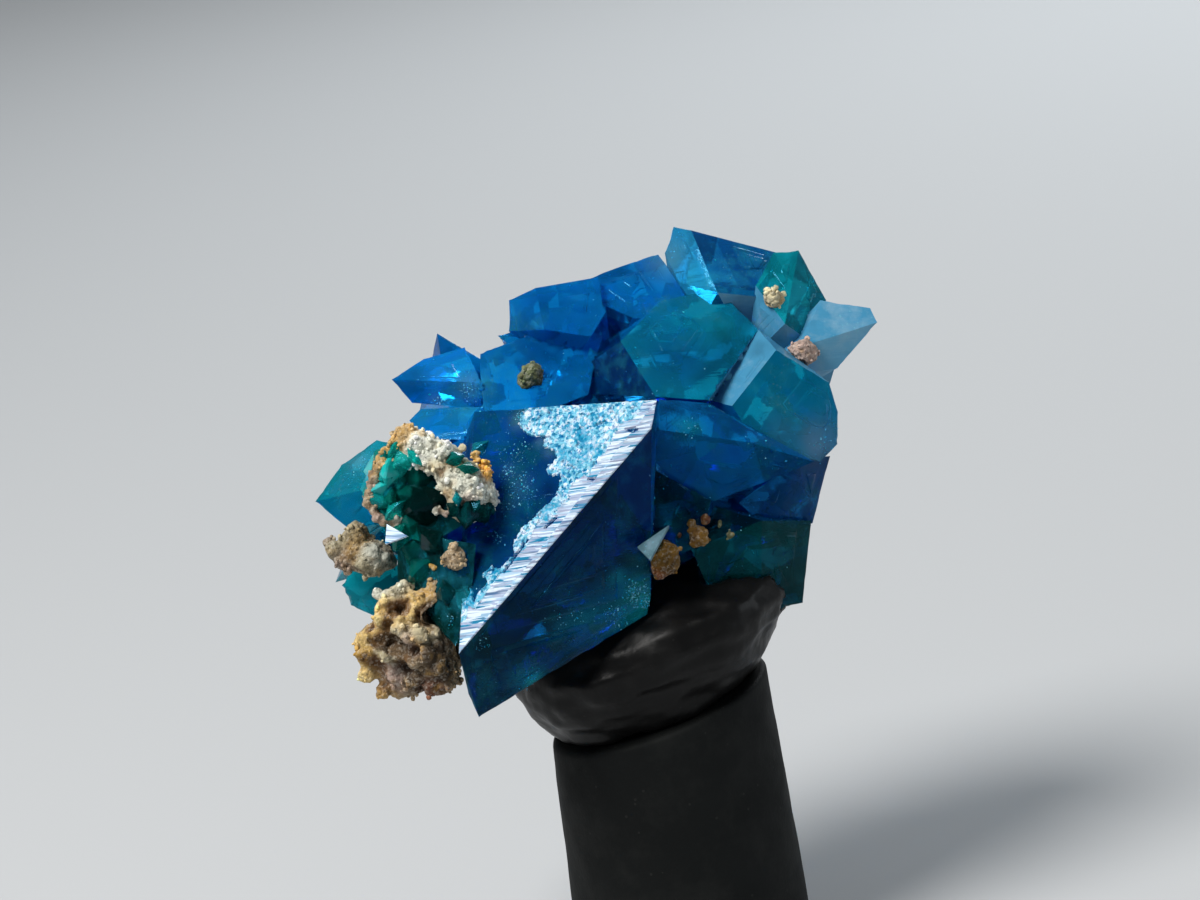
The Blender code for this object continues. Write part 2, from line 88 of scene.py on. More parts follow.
@dataclass(frozen=True)
class View:
    """The photograph's view of the specimen, in degrees and millimetres."""

    elevation: float = 15.0
    roll: float = 9.0
    middle: Triple = (-0.32, 0.0, 9.35)
    distance: float = 76.6
    lens: float = 135.0
    film_width: float = 36.0
    clip: Pair = (1.0, 10000.0)

    def axes(self) -> tuple[Vector, Vector, Vector]:
        """The picture's right, up and back directions.

        Returns:
            Three unit vectors in the model's frame.
        """
        lift, lean = math.radians(self.elevation), math.radians(self.roll)
        level = Vector((1.0, 0.0, 0.0))
        upright = Vector((0.0, math.sin(lift), math.cos(lift)))
        right = math.cos(lean) * level - math.sin(lean) * upright
        up = math.sin(lean) * level + math.cos(lean) * upright
        return right, up, Vector((0.0, math.cos(lift), -math.sin(lift)))

    def seen(self, right: float, up: float, back: float) -> Vector:
        """The place that the picture shows at right and up.

        Args:
            right: millimetres to the right of the picture's middle, on the plane of the post's axis.
            up: millimetres above it.
            back: millimetres behind that plane.

        Returns:
            The point in the model's frame, in metres.
        """
        x_axis, y_axis, z_axis = self.axes()
        spread = 1.0 + back / self.distance
        place = Vector(self.middle) + spread * (right * x_axis + up * y_axis) + back * z_axis
        return place * MM

    def picture(self, points: Array) -> Array:
        """Where the picture shows points.

        Args:
            points: rows of x, y and z, in millimetres.

        Returns:
            A row of right, up and back for each point.
        """
        axes = np.array(self.axes())
        found = (points - np.array(self.middle)) @ axes.T
        found[:, :2] /= (1.0 + found[:, 2:] / self.distance)
        return found

    def eye(self) -> Vector:
        """Where the camera stands, in metres."""
        return (Vector(self.middle) - self.distance * self.axes()[2]) * MM

    def ray(self, right: float, up: float) -> tuple[Vector, Vector]:
        """Where the camera stands, in millimetres, and the direction in which it sees right and up."""
        eye = self.eye() / MM
        return eye, (self.seen(right, up, 0.0) / MM - eye).normalized()

    def add_camera(self) -> None:
        """Creates the camera and makes it the scene's."""
        lens = bpy.data.cameras.new("camera")
        lens.lens = self.lens
        lens.sensor_width = self.film_width
        lens.clip_start, lens.clip_end = (MM * reach for reach in self.clip)
        camera = bpy.data.objects.new("camera", lens)
        right, up, back = self.axes()
        turn = Matrix((right, up, -back)).transposed().to_4x4()
        camera.matrix_world = Matrix.Translation(self.eye()) @ turn
        bpy.context.scene.collection.objects.link(camera)
        bpy.context.scene.camera = camera


VIEW = View()


@dataclass(frozen=True)
class Softbox:
    """A soft light that looks at the crystals. Its place is a direction in the picture's view."""

    name: str
    right: float
    up: float
    back: float
    distance: float
    width: float
    power: float
    colour: Colour = WHITE

    def add(self) -> None:
        """Creates the light."""
        x_axis, y_axis, z_axis = VIEW.axes()
        direction = (self.right * x_axis + self.up * y_axis + self.back * z_axis).normalized()
        lamp = bpy.data.lights.new(self.name, "AREA")
        lamp.shape = "DISK"
        lamp.size = self.width * MM
        lamp.energy = self.power
        lamp.color = self.colour
        made = bpy.data.objects.new(self.name, lamp)
        made.location = Vector(VIEW.middle) * MM + direction * self.distance * MM
        made.rotation_euler = direction.to_track_quat("Z", "Y").to_euler()
        bpy.context.scene.collection.objects.link(made)


@dataclass(frozen=True)
class Studio:
    """A plain pale floor under soft lights."""

    floor_width: float = 4000.0
    floor_colour: Colour = (0.46, 0.47, 0.48)
    floor_roughness: float = 0.9
    sky_colour: Colour = (0.86, 0.93, 1.0)
    sky_strength: float = 0.18
    lights: tuple[Softbox, ...] = (
        Softbox("key", -0.56, 0.62, -0.55, 120.0, 62.0, 0.20, (1.0, 0.98, 0.95)),
        Softbox("fill", 0.85, 0.30, -0.20, 150.0, 80.0, 0.04, (0.88, 0.95, 1.0)),
        Softbox("rim", 0.25, 0.75, 0.75, 130.0, 60.0, 0.08, (0.92, 0.97, 1.0)),
    )

    def build(self) -> None:
        """Sets up the floor, the sky and the lights."""
        bm = bmesh.new()
        bmesh.ops.create_grid(bm, x_segments=1, y_segments=1, size=0.5 * self.floor_width * MM)
        floor = object_from_bmesh("floor", bm)
        floor.data.materials.append(self.floor_material())
        world = bpy.data.worlds.new("studio")
        bpy.context.scene.world = world
        world.use_nodes = True
        sky = world.node_tree.nodes["Background"]
        sky.inputs["Color"].default_value = (*self.sky_colour, 1.0)
        sky.inputs["Strength"].default_value = self.sky_strength
        for light in self.lights:
            light.add()
        bpy.context.scene.view_settings.view_transform = "Standard"

    def floor_material(self) -> Material:
        """The floor's plain matt finish."""
        graph = Graph.for_material("floor")
        return graph.dressed({"Base Color": self.floor_colour, "Roughness": self.floor_roughness})


class Kind(Enum):
    """The kinds of value that a node group takes in and puts out."""

    NUMBER = "NodeSocketFloat"
    COLOUR = "NodeSocketColor"
    VECTOR = "NodeSocketVector"


@dataclass
class Graph:
    """A node tree as it is laid out: short ways to add nodes and to join them."""

    tree: NodeTree
    material: Material | None = None
    shader: Node | None = None
    source: Node | None = None
    result: Node | None = None

    @classmethod
    def for_material(cls, name: str) -> "Graph":
        """A new material with its Principled shader.

        Args:
            name: the material's name.

        Returns:
            The graph, with its shader ready.
        """
        material = bpy.data.materials.new(name)
        material.use_nodes = True
        tree = material.node_tree
        return cls(tree, material=material, shader=tree.nodes["Principled BSDF"])

    @classmethod
    def for_group(cls, name: str, inputs: dict[str, object], outputs: dict[str, object]) -> "Graph":
        """A new node group.

        Args:
            name: the group's name.
            inputs: each input's name and its usual value: a colour, a number, or none for a vector.
            outputs: the same for each output.

        Returns:
            The graph, with its source and result nodes ready.
        """
        tree = bpy.data.node_groups.new(name, "ShaderNodeTree")
        for side, sockets in (("INPUT", inputs), ("OUTPUT", outputs)):
            for label, value in sockets.items():
                is_colour = isinstance(value, tuple)
                kind = Kind.VECTOR if value is None else Kind.COLOUR if is_colour else Kind.NUMBER
                made = tree.interface.new_socket(name=label, in_out=side, socket_type=kind.value)
                if value is not None:
                    made.default_value = (*value, 1.0) if is_colour else value
        source = tree.nodes.new("NodeGroupInput")
        return cls(tree, source=source, result=tree.nodes.new("NodeGroupOutput"))

    def add(self, kind: str, inputs: Inputs | None = None, **settings: object) -> Node:
        """Adds a node.

        Args:
            kind: the node's type without its ShaderNode prefix.
            inputs: input names or numbers, with the value or the socket that each takes.
            settings: the node's own properties.

        Returns:
            The new node.
        """
        node = self.tree.nodes.new("ShaderNode" + kind)
        for label, value in settings.items():
            setattr(node, label, value)
        self.set(node, inputs or {})
        return node

    def set(self, node: Node, inputs: Inputs) -> None:
        """Fills a node's inputs.

        Args:
            node: the node.
            inputs: input names or numbers, with the value or the socket that each takes.
        """
        for label, value in inputs.items():
            socket = node.inputs[label]
            if isinstance(value, Socket):
                self.tree.links.new(value, socket)
            elif isinstance(value, tuple) and socket.type == "RGBA":
                socket.default_value = (*value, 1.0)
            else:
                socket.default_value = value

    def dressed(self, inputs: Inputs) -> Material:
        """The material, once its shader's inputs are filled."""
        self.set(self.shader, inputs)
        return self.material

    def finished(self, outputs: Inputs) -> NodeTree:
        """The group, once its outputs are filled."""
        self.set(self.result, outputs)
        return self.tree

    def math(self, operation: str, first: object, second: object, clamp: bool = False) -> Socket:
        """A sum on two numbers or sockets, kept from 0 to 1 if it is clamped."""
        return self.add("Math", {0: first, 1: second}, operation=operation, use_clamp=clamp).outputs[0]

    def times(self, first: object, second: object) -> Socket:
        """The product of two numbers or sockets."""
        return self.math("MULTIPLY", first, second)

    def mix(self, factor: object, first: object, second: object) -> Socket:
        """A blend of two colours or sockets, in which the factor is the second one's share."""
        return self.add("Mix", {0: factor, 6: first, 7: second}, data_type="RGBA").outputs[2]

    def band(self, value: Socket, low: float, high: float) -> Socket:
        """A value stretched so that low becomes 0 and high becomes 1, and clipped."""
        return self.add("MapRange", {0: value, 1: low, 2: high}, clamp=True).outputs[0]

    def place(self) -> Socket:
        """The object's own coordinates."""
        return self.add("TexCoord").outputs["Object"]

    def tint(self) -> Socket:
        """The mesh's own colours."""
        return self.add("Attribute", attribute_name="tint").outputs["Color"]

    def stretched(self, vector: Socket, along: object, across: object) -> Socket:
        """Flat coordinates, with the first scaled by along and the second by across."""
        first, second = self.add("SeparateXYZ", {0: vector}).outputs[:2]
        return self.add("CombineXYZ", {0: self.times(first, along), 1: self.times(second, across)}).outputs[0]

    def noise(self, scale: object, detail: float, roughness: float, vector: Socket | None = None) -> Socket:
        """Noise from 0 to 1, with its patches to a metre, its finer layers and how strong they are."""
        inputs = {"Vector": vector or self.place(), "Scale": scale, "Detail": detail, "Roughness": roughness}
        return self.add("TexNoise", inputs).outputs["Fac"]

    def cells(self, scale: object, vector: Socket | None = None) -> Node:
        """Scattered cells, scale of them to a metre, each with its own random colour."""
        return self.add("TexVoronoi", {"Vector": vector or self.place(), "Scale": scale})

    def pick(self, cells: Node) -> Socket:
        """A random number for each cell, from 0 to 1."""
        return self.add("SeparateColor", {0: cells.outputs["Color"]}).outputs[0]

    def bump(self, depth: float, height: Socket) -> Socket:
        """The normals of a height that varies, with its depth in millimetres."""
        return self.add("Bump", {"Strength": 1.0, "Distance": depth * MM, "Height": height}).outputs["Normal"]

    def use(self, group: NodeTree, inputs: Inputs) -> bpy.types.bpy_prop_collection:
        """Places a node group.

        Args:
            group: the group.
            inputs: the values or sockets of its inputs.

        Returns:
            The group's outputs.
        """
        node = self.tree.nodes.new("ShaderNodeGroup")
        node.node_tree = group
        self.set(node, inputs)
        return node.outputs


class Effects:
    """The node groups that more than one finish uses, each built once."""

    def __init__(self) -> None:
        """Builds every group."""
        self.cloud = self.build_cloud()
        self.lines = self.build_lines()
        self.specks = self.build_specks()
        self.earth = self.build_earth()
        self.dust = self.build_dust()

    def build_cloud(self) -> NodeTree:
        """Cloudy depth: patches of a lighter and of a darker colour at two sizes.

        Returns:
            The group.
        """
        finer, broad_share, fine_share = 4.3, 0.6, 0.4
        graph = Graph.for_group(
            "Cloudy depth",
            {"Colour": GREY, "Light": WHITE, "Dark": BLACK, "Amount": 0.5, "Scale": 1000.0},
            {"Colour": GREY, "Mask": 0.0},
        )
        source = graph.source.outputs
        broad = graph.noise(source["Scale"], detail=3.0, roughness=0.55)
        fine = graph.noise(graph.times(source["Scale"], finer), detail=4.0, roughness=0.65)
        both = graph.math("ADD", graph.times(broad, broad_share), graph.times(fine, fine_share))
        light = graph.band(both, low=0.50, high=0.68)
        dark = graph.band(broad, low=0.47, high=0.30)
        tone = graph.mix(graph.times(dark, source["Amount"]), source["Colour"], source["Dark"])
        tone = graph.mix(graph.times(light, source["Amount"]), tone, source["Light"])
        return graph.finished({"Colour": tone, "Mask": light})

    def build_lines(self) -> NodeTree:
        """Growth lines: fine straight lines along the first of a face's two coordinates.

        Returns:
            The group.
        """
        inputs = {"Vector": None, "Count": 9.0, "Length": 0.4}
        graph = Graph.for_group("Growth lines", inputs, {"Height": 0.0})
        source = graph.source.outputs
        place = graph.stretched(source["Vector"], source["Length"], source["Count"])
        return graph.finished({"Height": graph.noise(1.0, detail=2.0, roughness=0.6, vector=place)})

    def build_specks(self) -> NodeTree:
        """Specks: small scattered spots of another colour.

        Returns:
            The group.
        """
        graph = Graph.for_group(
            "Specks",
            {"Colour": GREY, "Speck": WHITE, "Scale": 9000.0, "Size": 0.2, "Patches": 900.0},
            {"Colour": GREY, "Mask": 0.0},
        )
        source = graph.source.outputs
        distance = graph.cells(source["Scale"]).outputs["Distance"]
        patches = graph.noise(source["Patches"], detail=2.0, roughness=0.5)
        near = graph.math("LESS_THAN", distance, source["Size"])
        mask = graph.times(near, graph.band(patches, low=0.52, high=0.75))
        return graph.finished({"Colour": graph.mix(mask, source["Colour"], source["Speck"]), "Mask": mask})

    def build_earth(self) -> NodeTree:
        """Earthy grain: small grains of uneven colour, with painted shade in the pores between them.

        Returns:
            The group.
        """
        pale_share, pore_scale = 0.45, 0.45
        graph = Graph.for_group(
            "Earthy grain",
            {"Colour": GREY, "Pale": WHITE, "Dark": BLACK, "Scale": 20000.0, "Amount": 0.5},
            {"Colour": GREY, "Height": 0.0},
        )
        source = graph.source.outputs
        grains = graph.cells(source["Scale"])
        pale = graph.times(graph.band(graph.pick(grains), low=0.60, high=1.0), source["Amount"])
        tone = graph.mix(pale, source["Colour"], graph.mix(pale_share, source["Colour"], source["Pale"]))
        # Painted shade in the pores between the grains; the pores also lower the height.
        shaded_pores = graph.noise(graph.times(source["Scale"], pore_scale), detail=4.0, roughness=0.7)
        shaded_pores = graph.band(shaded_pores, low=0.46, high=0.33)
        tone = graph.mix(graph.times(shaded_pores, source["Amount"]), tone, source["Dark"])
        height = graph.math("SUBTRACT", graph.math("SUBTRACT", 1.0, grains.outputs["Distance"]), shaded_pores)
        return graph.finished({"Colour": tone, "Height": height})

    def build_dust(self) -> NodeTree:
        """Dust: a thin patchy film of pale dust, with a few larger motes.

        Returns:
            The group.
        """
        mote_scale, mote_size = 4.0, 0.09
        graph = Graph.for_group(
            "Dust",
            {"Colour": GREY, "Dust": GREY, "Amount": 0.2, "Scale": 1500.0},
            {"Colour": GREY, "Mask": 0.0},
        )
        source = graph.source.outputs
        film = graph.band(graph.noise(source["Scale"], detail=5.0, roughness=0.7), low=0.45, high=0.85)
        motes = graph.cells(graph.times(source["Scale"], mote_scale))
        mote = graph.math("LESS_THAN", motes.outputs["Distance"], mote_size)
        mask = graph.times(graph.math("MAXIMUM", film, mote), source["Amount"])
        return graph.finished({"Colour": graph.mix(mask, source["Colour"], source["Dust"]), "Mask": mask})


def in_millimetres(*nodes: Object) -> BMesh:
    """The meshes of CAD nodes, put together.

    Args:
        nodes: the nodes.

    Returns:
        The mesh, in millimetres.
    """
    bm = bmesh.new()
    for node in nodes:
        bm.from_mesh(node.data)
    bmesh.ops.scale(bm, vec=(1.0 / MM, 1.0 / MM, 1.0 / MM), verts=bm.verts)
    return bm


def object_from_bmesh(name: str, bm: BMesh) -> Object:
    """A mesh object made from bm, which is freed.

    Args:
        name: the object's name.
        bm: the mesh, in metres.

    Returns:
        The object, linked to the scene.
    """
    mesh = bpy.data.meshes.new(name)
    bm.to_mesh(mesh)
    bm.free()
    made = bpy.data.objects.new(name, mesh)
    bpy.context.scene.collection.objects.link(made)
    return made


def ragged_shift(place: Array, size: float, reach: float) -> Pair:
    """A small sideways push that makes an outline ragged.

    Args:
        place: the point.
        size: how wide a wave of the raggedness is.
        reach: how far it pushes.

    Returns:
        The push to the right and up.
    """
    fine_size, fine_share = 0.3, 0.6
    spot = Vector(place) / size
    fine = Vector(place) / (fine_size * size)
    across = noise.noise(spot) + fine_share * noise.noise(fine)
    spot_up, fine_up = spot + Vector((9.0, 4.0, 2.0)), fine + Vector((5.0, 1.0, 7.0))
    upward = noise.noise(spot_up) + fine_share * noise.noise(fine_up)
    return reach * across, reach * upward


def noise_at(points: Array, size: float, octaves: int = 1, seed: float = 0.0) -> Array:
    """Smooth noise at points.

    Args:
        points: rows of three coordinates.
        size: how wide a wave of it is.
        octaves: how many finer layers are added.
        seed: picks another pattern.

    Returns:
        Values from about -1 to 1.
    """
    falloff, finer = 0.8, 2.1
    away = Vector((seed, 1.7 * seed, 2.3 * seed))
    return np.array([noise.fractal(Vector(p) / size + away, falloff, finer, octaves) for p in points])


def inside_outline(points: Array, outline: Array) -> Array:
    """Whether points lie inside a flat outline.

    Args:
        points: rows of two coordinates.
        outline: the corners in order.

    Returns:
        True for each point inside.
    """
    inside = np.zeros(len(points), bool)
    for start, end in zip(outline, np.roll(outline, -1, 0)):
        if start[1] == end[1]:
            continue
        crosses = (start[1] > points[:, 1]) != (end[1] > points[:, 1])
        reach = start[0] + (points[:, 1] - start[1]) * (end[0] - start[0]) / (end[1] - start[1])
        inside ^= crosses & (points[:, 0] < reach)
    return inside


def from_outline(points: Array, outline: Array) -> Array:
    """How far points lie from the nearest side of an outline.

    Args:
        points: rows of two coordinates.
        outline: the corners in order.

    Returns:
        The distances.
    """
    nearest = np.full(len(points), np.inf)
    for start, end in zip(outline, np.roll(outline, -1, 0)):
        side = end - start
        share = np.clip(((points - start) @ side) / max(side @ side, TINY**2), 0.0, 1.0)
        nearest = np.minimum(nearest, np.linalg.norm(points - start - share[:, None] * side, axis=1))
    return nearest


def unit(rows: Array) -> Array:
    """Rows of coordinates as directions of length 1."""
    return rows / np.maximum(np.linalg.norm(rows, axis=1, keepdims=True), TINY)


class Surface:
    """The outside of some CAD nodes, in millimetres, to stand things on."""

    def __init__(self, *nodes: Object) -> None:
        """Gathers the faces of CAD nodes.

        Args:
            nodes: the nodes.
        """
        bm = in_millimetres(*nodes)
        self.tree = BVHTree.FromBMesh(bm)
        self.middle = sum((v.co for v in bm.verts), Vector()) / len(bm.verts)
        bm.free()

    def under(self, right: float, up: float) -> tuple[Vector, Vector]:
        """The place that the picture shows at right and up, or one beside the surface if it misses it.

        Args:
            right: millimetres to the right of the picture's middle.
            up: millimetres above it.

        Returns:
            The place and the outward direction there.
        """
        place, normal, _, _ = self.tree.ray_cast(*VIEW.ray(right, up))
        if place is None:
            back = VIEW.axes()[2]
            depth = (self.middle - Vector(VIEW.middle)).dot(back)
            near = self.tree.find_nearest(VIEW.seen(right, up, depth) / MM)[0]
            place = VIEW.seen(right, up, (near - Vector(VIEW.middle)).dot(back)) / MM
            normal = -back
        return place, normal

    def distance(self, place: Vector) -> float:
        """How far a place is from the surface."""
        return self.tree.find_nearest(place)[3]


class MeshStock:
    """The points and triangles of one piece as they are collected, in millimetres."""

    def __init__(self) -> None:
        """Starts with nothing."""
        self.count = 0
        self.points: list[Array] = []
        self.parts: list[Arrays] = []

    def add_points(self, points: Array) -> int:
        """Adds points.

        Args:
            points: rows of x, y and z.

        Returns:
            The number of the first.
        """
        first = self.count
        self.points.append(np.asarray(points, float).reshape(-1, 3))
        self.count += len(self.points[-1])
        return first

    def add_triangles(self, triangles: Array, flat: Array, tints: Array, finishes: Array) -> None:
        """Adds triangles, with their corners' flat coordinates and colours, and their finish numbers."""
        self.parts.append((triangles, flat, tints, finishes))

    def add_skin(self, points: Array, triangles: Array, tints: Array | None = None) -> None:
        """Adds a skin that has no flat faces.

        Args:
            points: its points.
            triangles: rows of three point numbers.
            tints: each point's colour, or none where the finish has its own.
        """
        first, count = self.add_points(points), len(triangles)
        corners = np.zeros((count, 3, 3)) if tints is None else tints[triangles]
        self.add_triangles(triangles + first, np.zeros((count, 3, 2)), corners, np.zeros(count))

    def add_solid(self, points: Array, triangles: Array, tint: Colour, finish: int = 0) -> None:
        """Adds a closed solid of one colour.

        Args:
            points: its corners.
            triangles: rows of three corner numbers.
            tint: its colour.
            finish: its finish number.
        """
        slanting = (0.31, 0.52, 0.79)
        first = self.add_points(points)
        corners = points[triangles]
        normals = unit(np.cross(corners[:, 1] - corners[:, 0], corners[:, 2] - corners[:, 0]))
        along = unit(np.cross(normals, slanting))
        across = np.cross(normals, along)
        flat = np.stack([np.einsum("tcx,tx->tc", corners, side) for side in (along, across)], 2)
        tints = np.tile(np.array(tint), (len(triangles), 3, 1))
        self.add_triangles(triangles + first, flat, tints, np.full(len(triangles), finish))

    def mesh(self, name: str, materials: list[Material], crisp_angle: float) -> Mesh:
        """The finished mesh.

        Args:
            name: the mesh's name.
            materials: the materials, in the order of the finish numbers.
            crisp_angle: an edge sharper than this, in degrees, stays sharp.

        Returns:
            The mesh, in metres.
        """
        mesh = bpy.data.meshes.new(name)
        triangles, flat, tints, finishes = (np.concatenate(rows) for rows in zip(*self.parts))
        mesh.from_pydata((np.concatenate(self.points) * MM).tolist(), [], triangles.tolist())
        mesh.uv_layers.new(name="face").uv.foreach_set("vector", flat.astype(np.float32).ravel())
        tints = tints.reshape(-1, 3)
        tints = np.concatenate([tints, np.ones((len(tints), 1))], 1).astype(np.float32)
        mesh.attributes.new("tint", "FLOAT_COLOR", "CORNER").data.foreach_set("color", tints.ravel())
        for material in materials:
            mesh.materials.append(material)
        mesh.polygons.foreach_set("material_index", finishes.astype(np.int32))
        mesh.shade_smooth()
        mesh.set_sharp_from_angle(angle=math.radians(crisp_angle))
        return mesh


def place_piece(name: str, mesh: Mesh, slot: str, *nodes: str) -> Object:
    """Puts a mesh in the scene as a piece that rides on the body.

    Args:
        name: the piece's name.
        mesh: its mesh, in metres.
        slot: a material slot's name; it is not used.
        nodes: the CAD nodes that it stands for.

    Returns:
        The piece.
    """
    piece = bpy.data.objects.new(name, mesh)
    bpy.context.scene.collection.objects.link(piece)
    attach(piece, BODY)
    if nodes:
        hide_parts(*nodes)
    return piece


class Shade(Enum):
    """The colours that faces of liroconite show."""

    NAVY = (0.001, 0.050, 0.200)
    DEEP = (0.002, 0.125, 0.400)
    BLUE = (0.001, 0.250, 0.720)
    AZURE = (0.002, 0.350, 0.900)
    SKY = (0.02, 0.42, 0.80)
    PALE = (0.18, 0.48, 0.70)
    TEAL = (0.002, 0.300, 0.520)
    SEA = (0.004, 0.400, 0.500)
    INK = (0.001, 0.030, 0.075)
    ABYSS = (0.001, 0.047, 0.115)
    CYAN = (0.02, 0.95, 0.98)
    PINE = (0.001, 0.120, 0.130)
    JADE = (0.008, 0.600, 0.570)
    EMERALD = (0.002, 0.280, 0.230)
    BOTTLE = (0.002, 0.050, 0.046)
    MIST = (0.08, 0.35, 0.58)
    HAZE = (0.30, 0.47, 0.64)
    FROST = (0.70, 0.80, 0.90)
    LILAC = (0.38, 0.43, 0.58)
    GLACIER = (0.20, 0.56, 0.72)
    LAGOON = (0.02, 0.22, 0.40)
    SMOKE = (0.10, 0.20, 0.24)


(
    NAVY, DEEP, BLUE, AZURE, SKY, PALE, TEAL, SEA, INK, ABYSS, CYAN,
    PINE, JADE, EMERALD, BOTTLE, MIST, HAZE, FROST, LILAC, GLACIER, LAGOON, SMOKE,
) = Shade


class Clarity(Enum):
    """How clear a face looks, which picks its finish."""

    CLEAR = 0
    CLOUDY = 1
    MILKY = 2
    # The etched and ridged clarities are a pale frosted layer whose paleness is partly painted sheen of the
    # light.
    ETCHED = 3
    RIDGED = 4


CLEAR, CLOUDY, MILKY, ETCHED, RIDGED = Clarity


@dataclass
class FacePaint:
    """What a crystal's finish paints with: its graph, the effects, and what the mesh gives it."""

    graph: Graph
    effects: Effects
    tint: Socket
    face: Socket
    lines: Socket


@dataclass(frozen=True)
class CrystalFinish:
    """Liroconite: a glassy face, colour inside it, and fine growth lines on it."""

    name: str
    transmission: float
    roughness: float
    cloud: float
    light: Colour
    line_depth: float
    index: float = 1.42
    gloss: float = 0.20
    gleam: Colour = (0.10, 0.50, 0.80)
    absorb: Colour = (0.05, 0.72, 0.92)
    density: float = 90.0
    cloud_scale: float = 900.0
    dark_share: float = 0.65
    specks: float = 11000.0
    speck_size: float = 0.16
    line_count: float = 14.0
    line_length: float = 0.5

    def tone(self, paint: FacePaint) -> Socket:
        """The colour over the surface: the mesh's own, clouded and specked.

        Args:
            paint: what it is painted with.

        Returns:
            The colour's socket.
        """
        graph, effects = paint.graph, paint.effects
        dark = graph.mix(self.dark_share, paint.tint, BLACK)
        cloud = {"Colour": paint.tint, "Light": self.light, "Dark": dark}
        tone = graph.use(effects.cloud, {**cloud, "Amount": self.cloud, "Scale": self.cloud_scale})["Colour"]
        specks = {"Colour": tone, "Speck": GLACIER.value, "Scale": self.specks, "Size": self.speck_size}
        return graph.use(effects.specks, specks)["Colour"]

    def material(self, effects: Effects) -> Material:
        """Builds the material.

        Args:
            effects: the shared node groups.

        Returns:
            The material.
        """
        graph = Graph.for_material(self.name)
        face = graph.add("UVMap", uv_map="face").outputs["UV"]
        lines = {"Vector": face, "Count": self.line_count, "Length": self.line_length}
        paint = FacePaint(graph, effects, graph.tint(), face, graph.use(effects.lines, lines)["Height"])
        inside = graph.add("VolumeAbsorption", {"Color": self.absorb, "Density": self.density})
        graph.tree.links.new(inside.outputs[0], graph.tree.nodes["Material Output"].inputs["Volume"])
        return graph.dressed(
            {
                "Base Color": self.tone(paint),
                "Roughness": self.roughness,
                "Metallic": 0.0,
                "IOR": self.index,
                "Specular IOR Level": self.gloss,
                "Specular Tint": self.gleam,
                "Transmission Weight": self.transmission,
                "Normal": graph.bump(self.line_depth, paint.lines),
            }
        )


@dataclass(frozen=True)
class EtchedSheenFinish(CrystalFinish):
    """The etched layer's grains: small cells from white to deep blue, the white partly frosting and partly
    painted sheen, with painted shade where they meet.
    """

    cells: float = 19000.0
    patches: float = 4600.0
    patchiness: float = 2.2
    shaded_gaps: float = 21000.0
    gap_shade_depth: float = 0.8
    hollows: float = 3200.0
    hollow_depth: float = 0.75

    def tone(self, paint: FacePaint) -> Socket:
        """The colour over the surface: the mesh's own, frosted cell by cell, partly as painted sheen of the
        light, with painted shade in the gaps.

        Args:
            paint: what it is painted with.

        Returns:
            The colour's socket.
        """
        graph = paint.graph
        patches = graph.math("SUBTRACT", graph.noise(self.patches, detail=3.0, roughness=0.6), 0.5)
        pick = graph.math("ADD", graph.pick(graph.cells(self.cells)), graph.times(patches, self.patchiness))
        # White frost in some cells: partly the frosted layer, partly painted sheen of the light.
        tone = graph.mix(graph.band(pick, low=0.45, high=0.95), paint.tint, FROST.value)
        tone = graph.mix(graph.band(pick, low=0.35, high=0.05), tone, LAGOON.value)
        # Painted shade in the gaps between the grains.
        shaded_gaps = graph.band(graph.noise(self.shaded_gaps, detail=3.0, roughness=0.65), low=0.47, high=0.36)
        tone = graph.mix(graph.times(shaded_gaps, self.gap_shade_depth), tone, DEEP.value)
        hollows = graph.band(graph.noise(self.hollows, detail=3.0, roughness=0.6), low=0.50, high=0.36)
        return graph.mix(graph.times(hollows, self.hollow_depth), tone, TEAL.value)


@dataclass(frozen=True)
class RidgedSheenFinish(CrystalFinish):
    """The band of growth lines along the sharp edge: white streaks that are partly painted sheen, lilac
    streaks painted as their shade, and thin dark lines painted as shade in the grooves.
    """

    streak_length: float = 3.0
    streak_count: float = 36.0
    groove_shade_depth: float = 0.7

    def tone(self, paint: FacePaint) -> Socket:
        """The colour over the surface: the mesh's own, streaked with painted sheen and painted shade.

        Args:
            paint: what it is painted with.

        Returns:
            The colour's socket.
        """
        graph = paint.graph
        place = graph.stretched(paint.face, self.streak_length, self.streak_count)
        pick = graph.pick(graph.cells(1.0, place))
        # White streaks: partly the frosted layer, partly painted sheen of the light.
        tone = graph.mix(graph.band(pick, low=0.50, high=0.75), paint.tint, FROST.value)
        # Lilac streaks painted as the shade between the white ones.
        tone = graph.mix(graph.band(pick, low=0.46, high=0.36), tone, LILAC.value)
        tone = graph.mix(graph.band(pick, low=0.13, high=0.08), tone, LAGOON.value)
        # Thin dark lines: painted shade in the grooves.
        groove_shade = graph.band(paint.lines, low=0.43, high=0.36)
        return graph.mix(graph.times(groove_shade, self.groove_shade_depth), tone, NAVY.value)


def crystal_materials(effects: Effects) -> list[Material]:
    """The crystals' materials, one for each clarity, in the order of their values.

    Args:
        effects: the shared node groups.

    Returns:
        The materials.
    """
    finishes = (
        CrystalFinish("clear_crystal", 0.78, 0.05, 0.80, (0.008, 0.280, 0.340), 0.003, 1.28),
        CrystalFinish("cloudy_crystal", 0.72, 0.09, 0.65, (0.030, 0.430, 0.580), 0.004, 1.36),
        CrystalFinish("milky_crystal", 0.35, 0.18, 0.60, (0.380, 0.600, 0.740), 0.006),
        # The etched and ridged finishes: pale frosted layers whose paleness is partly painted sheen of the
        # light.
        EtchedSheenFinish("etched_crystal_and_sheen", 0.10, 0.28, 0.10, (0.850, 0.950, 1.000), 0.003),
        RidgedSheenFinish("ridged_crystal_and_sheen", 0.10, 0.25, 0.10, (0.850, 0.950, 1.000), 0.010),
    )
    return [finish.material(effects) for finish in finishes]


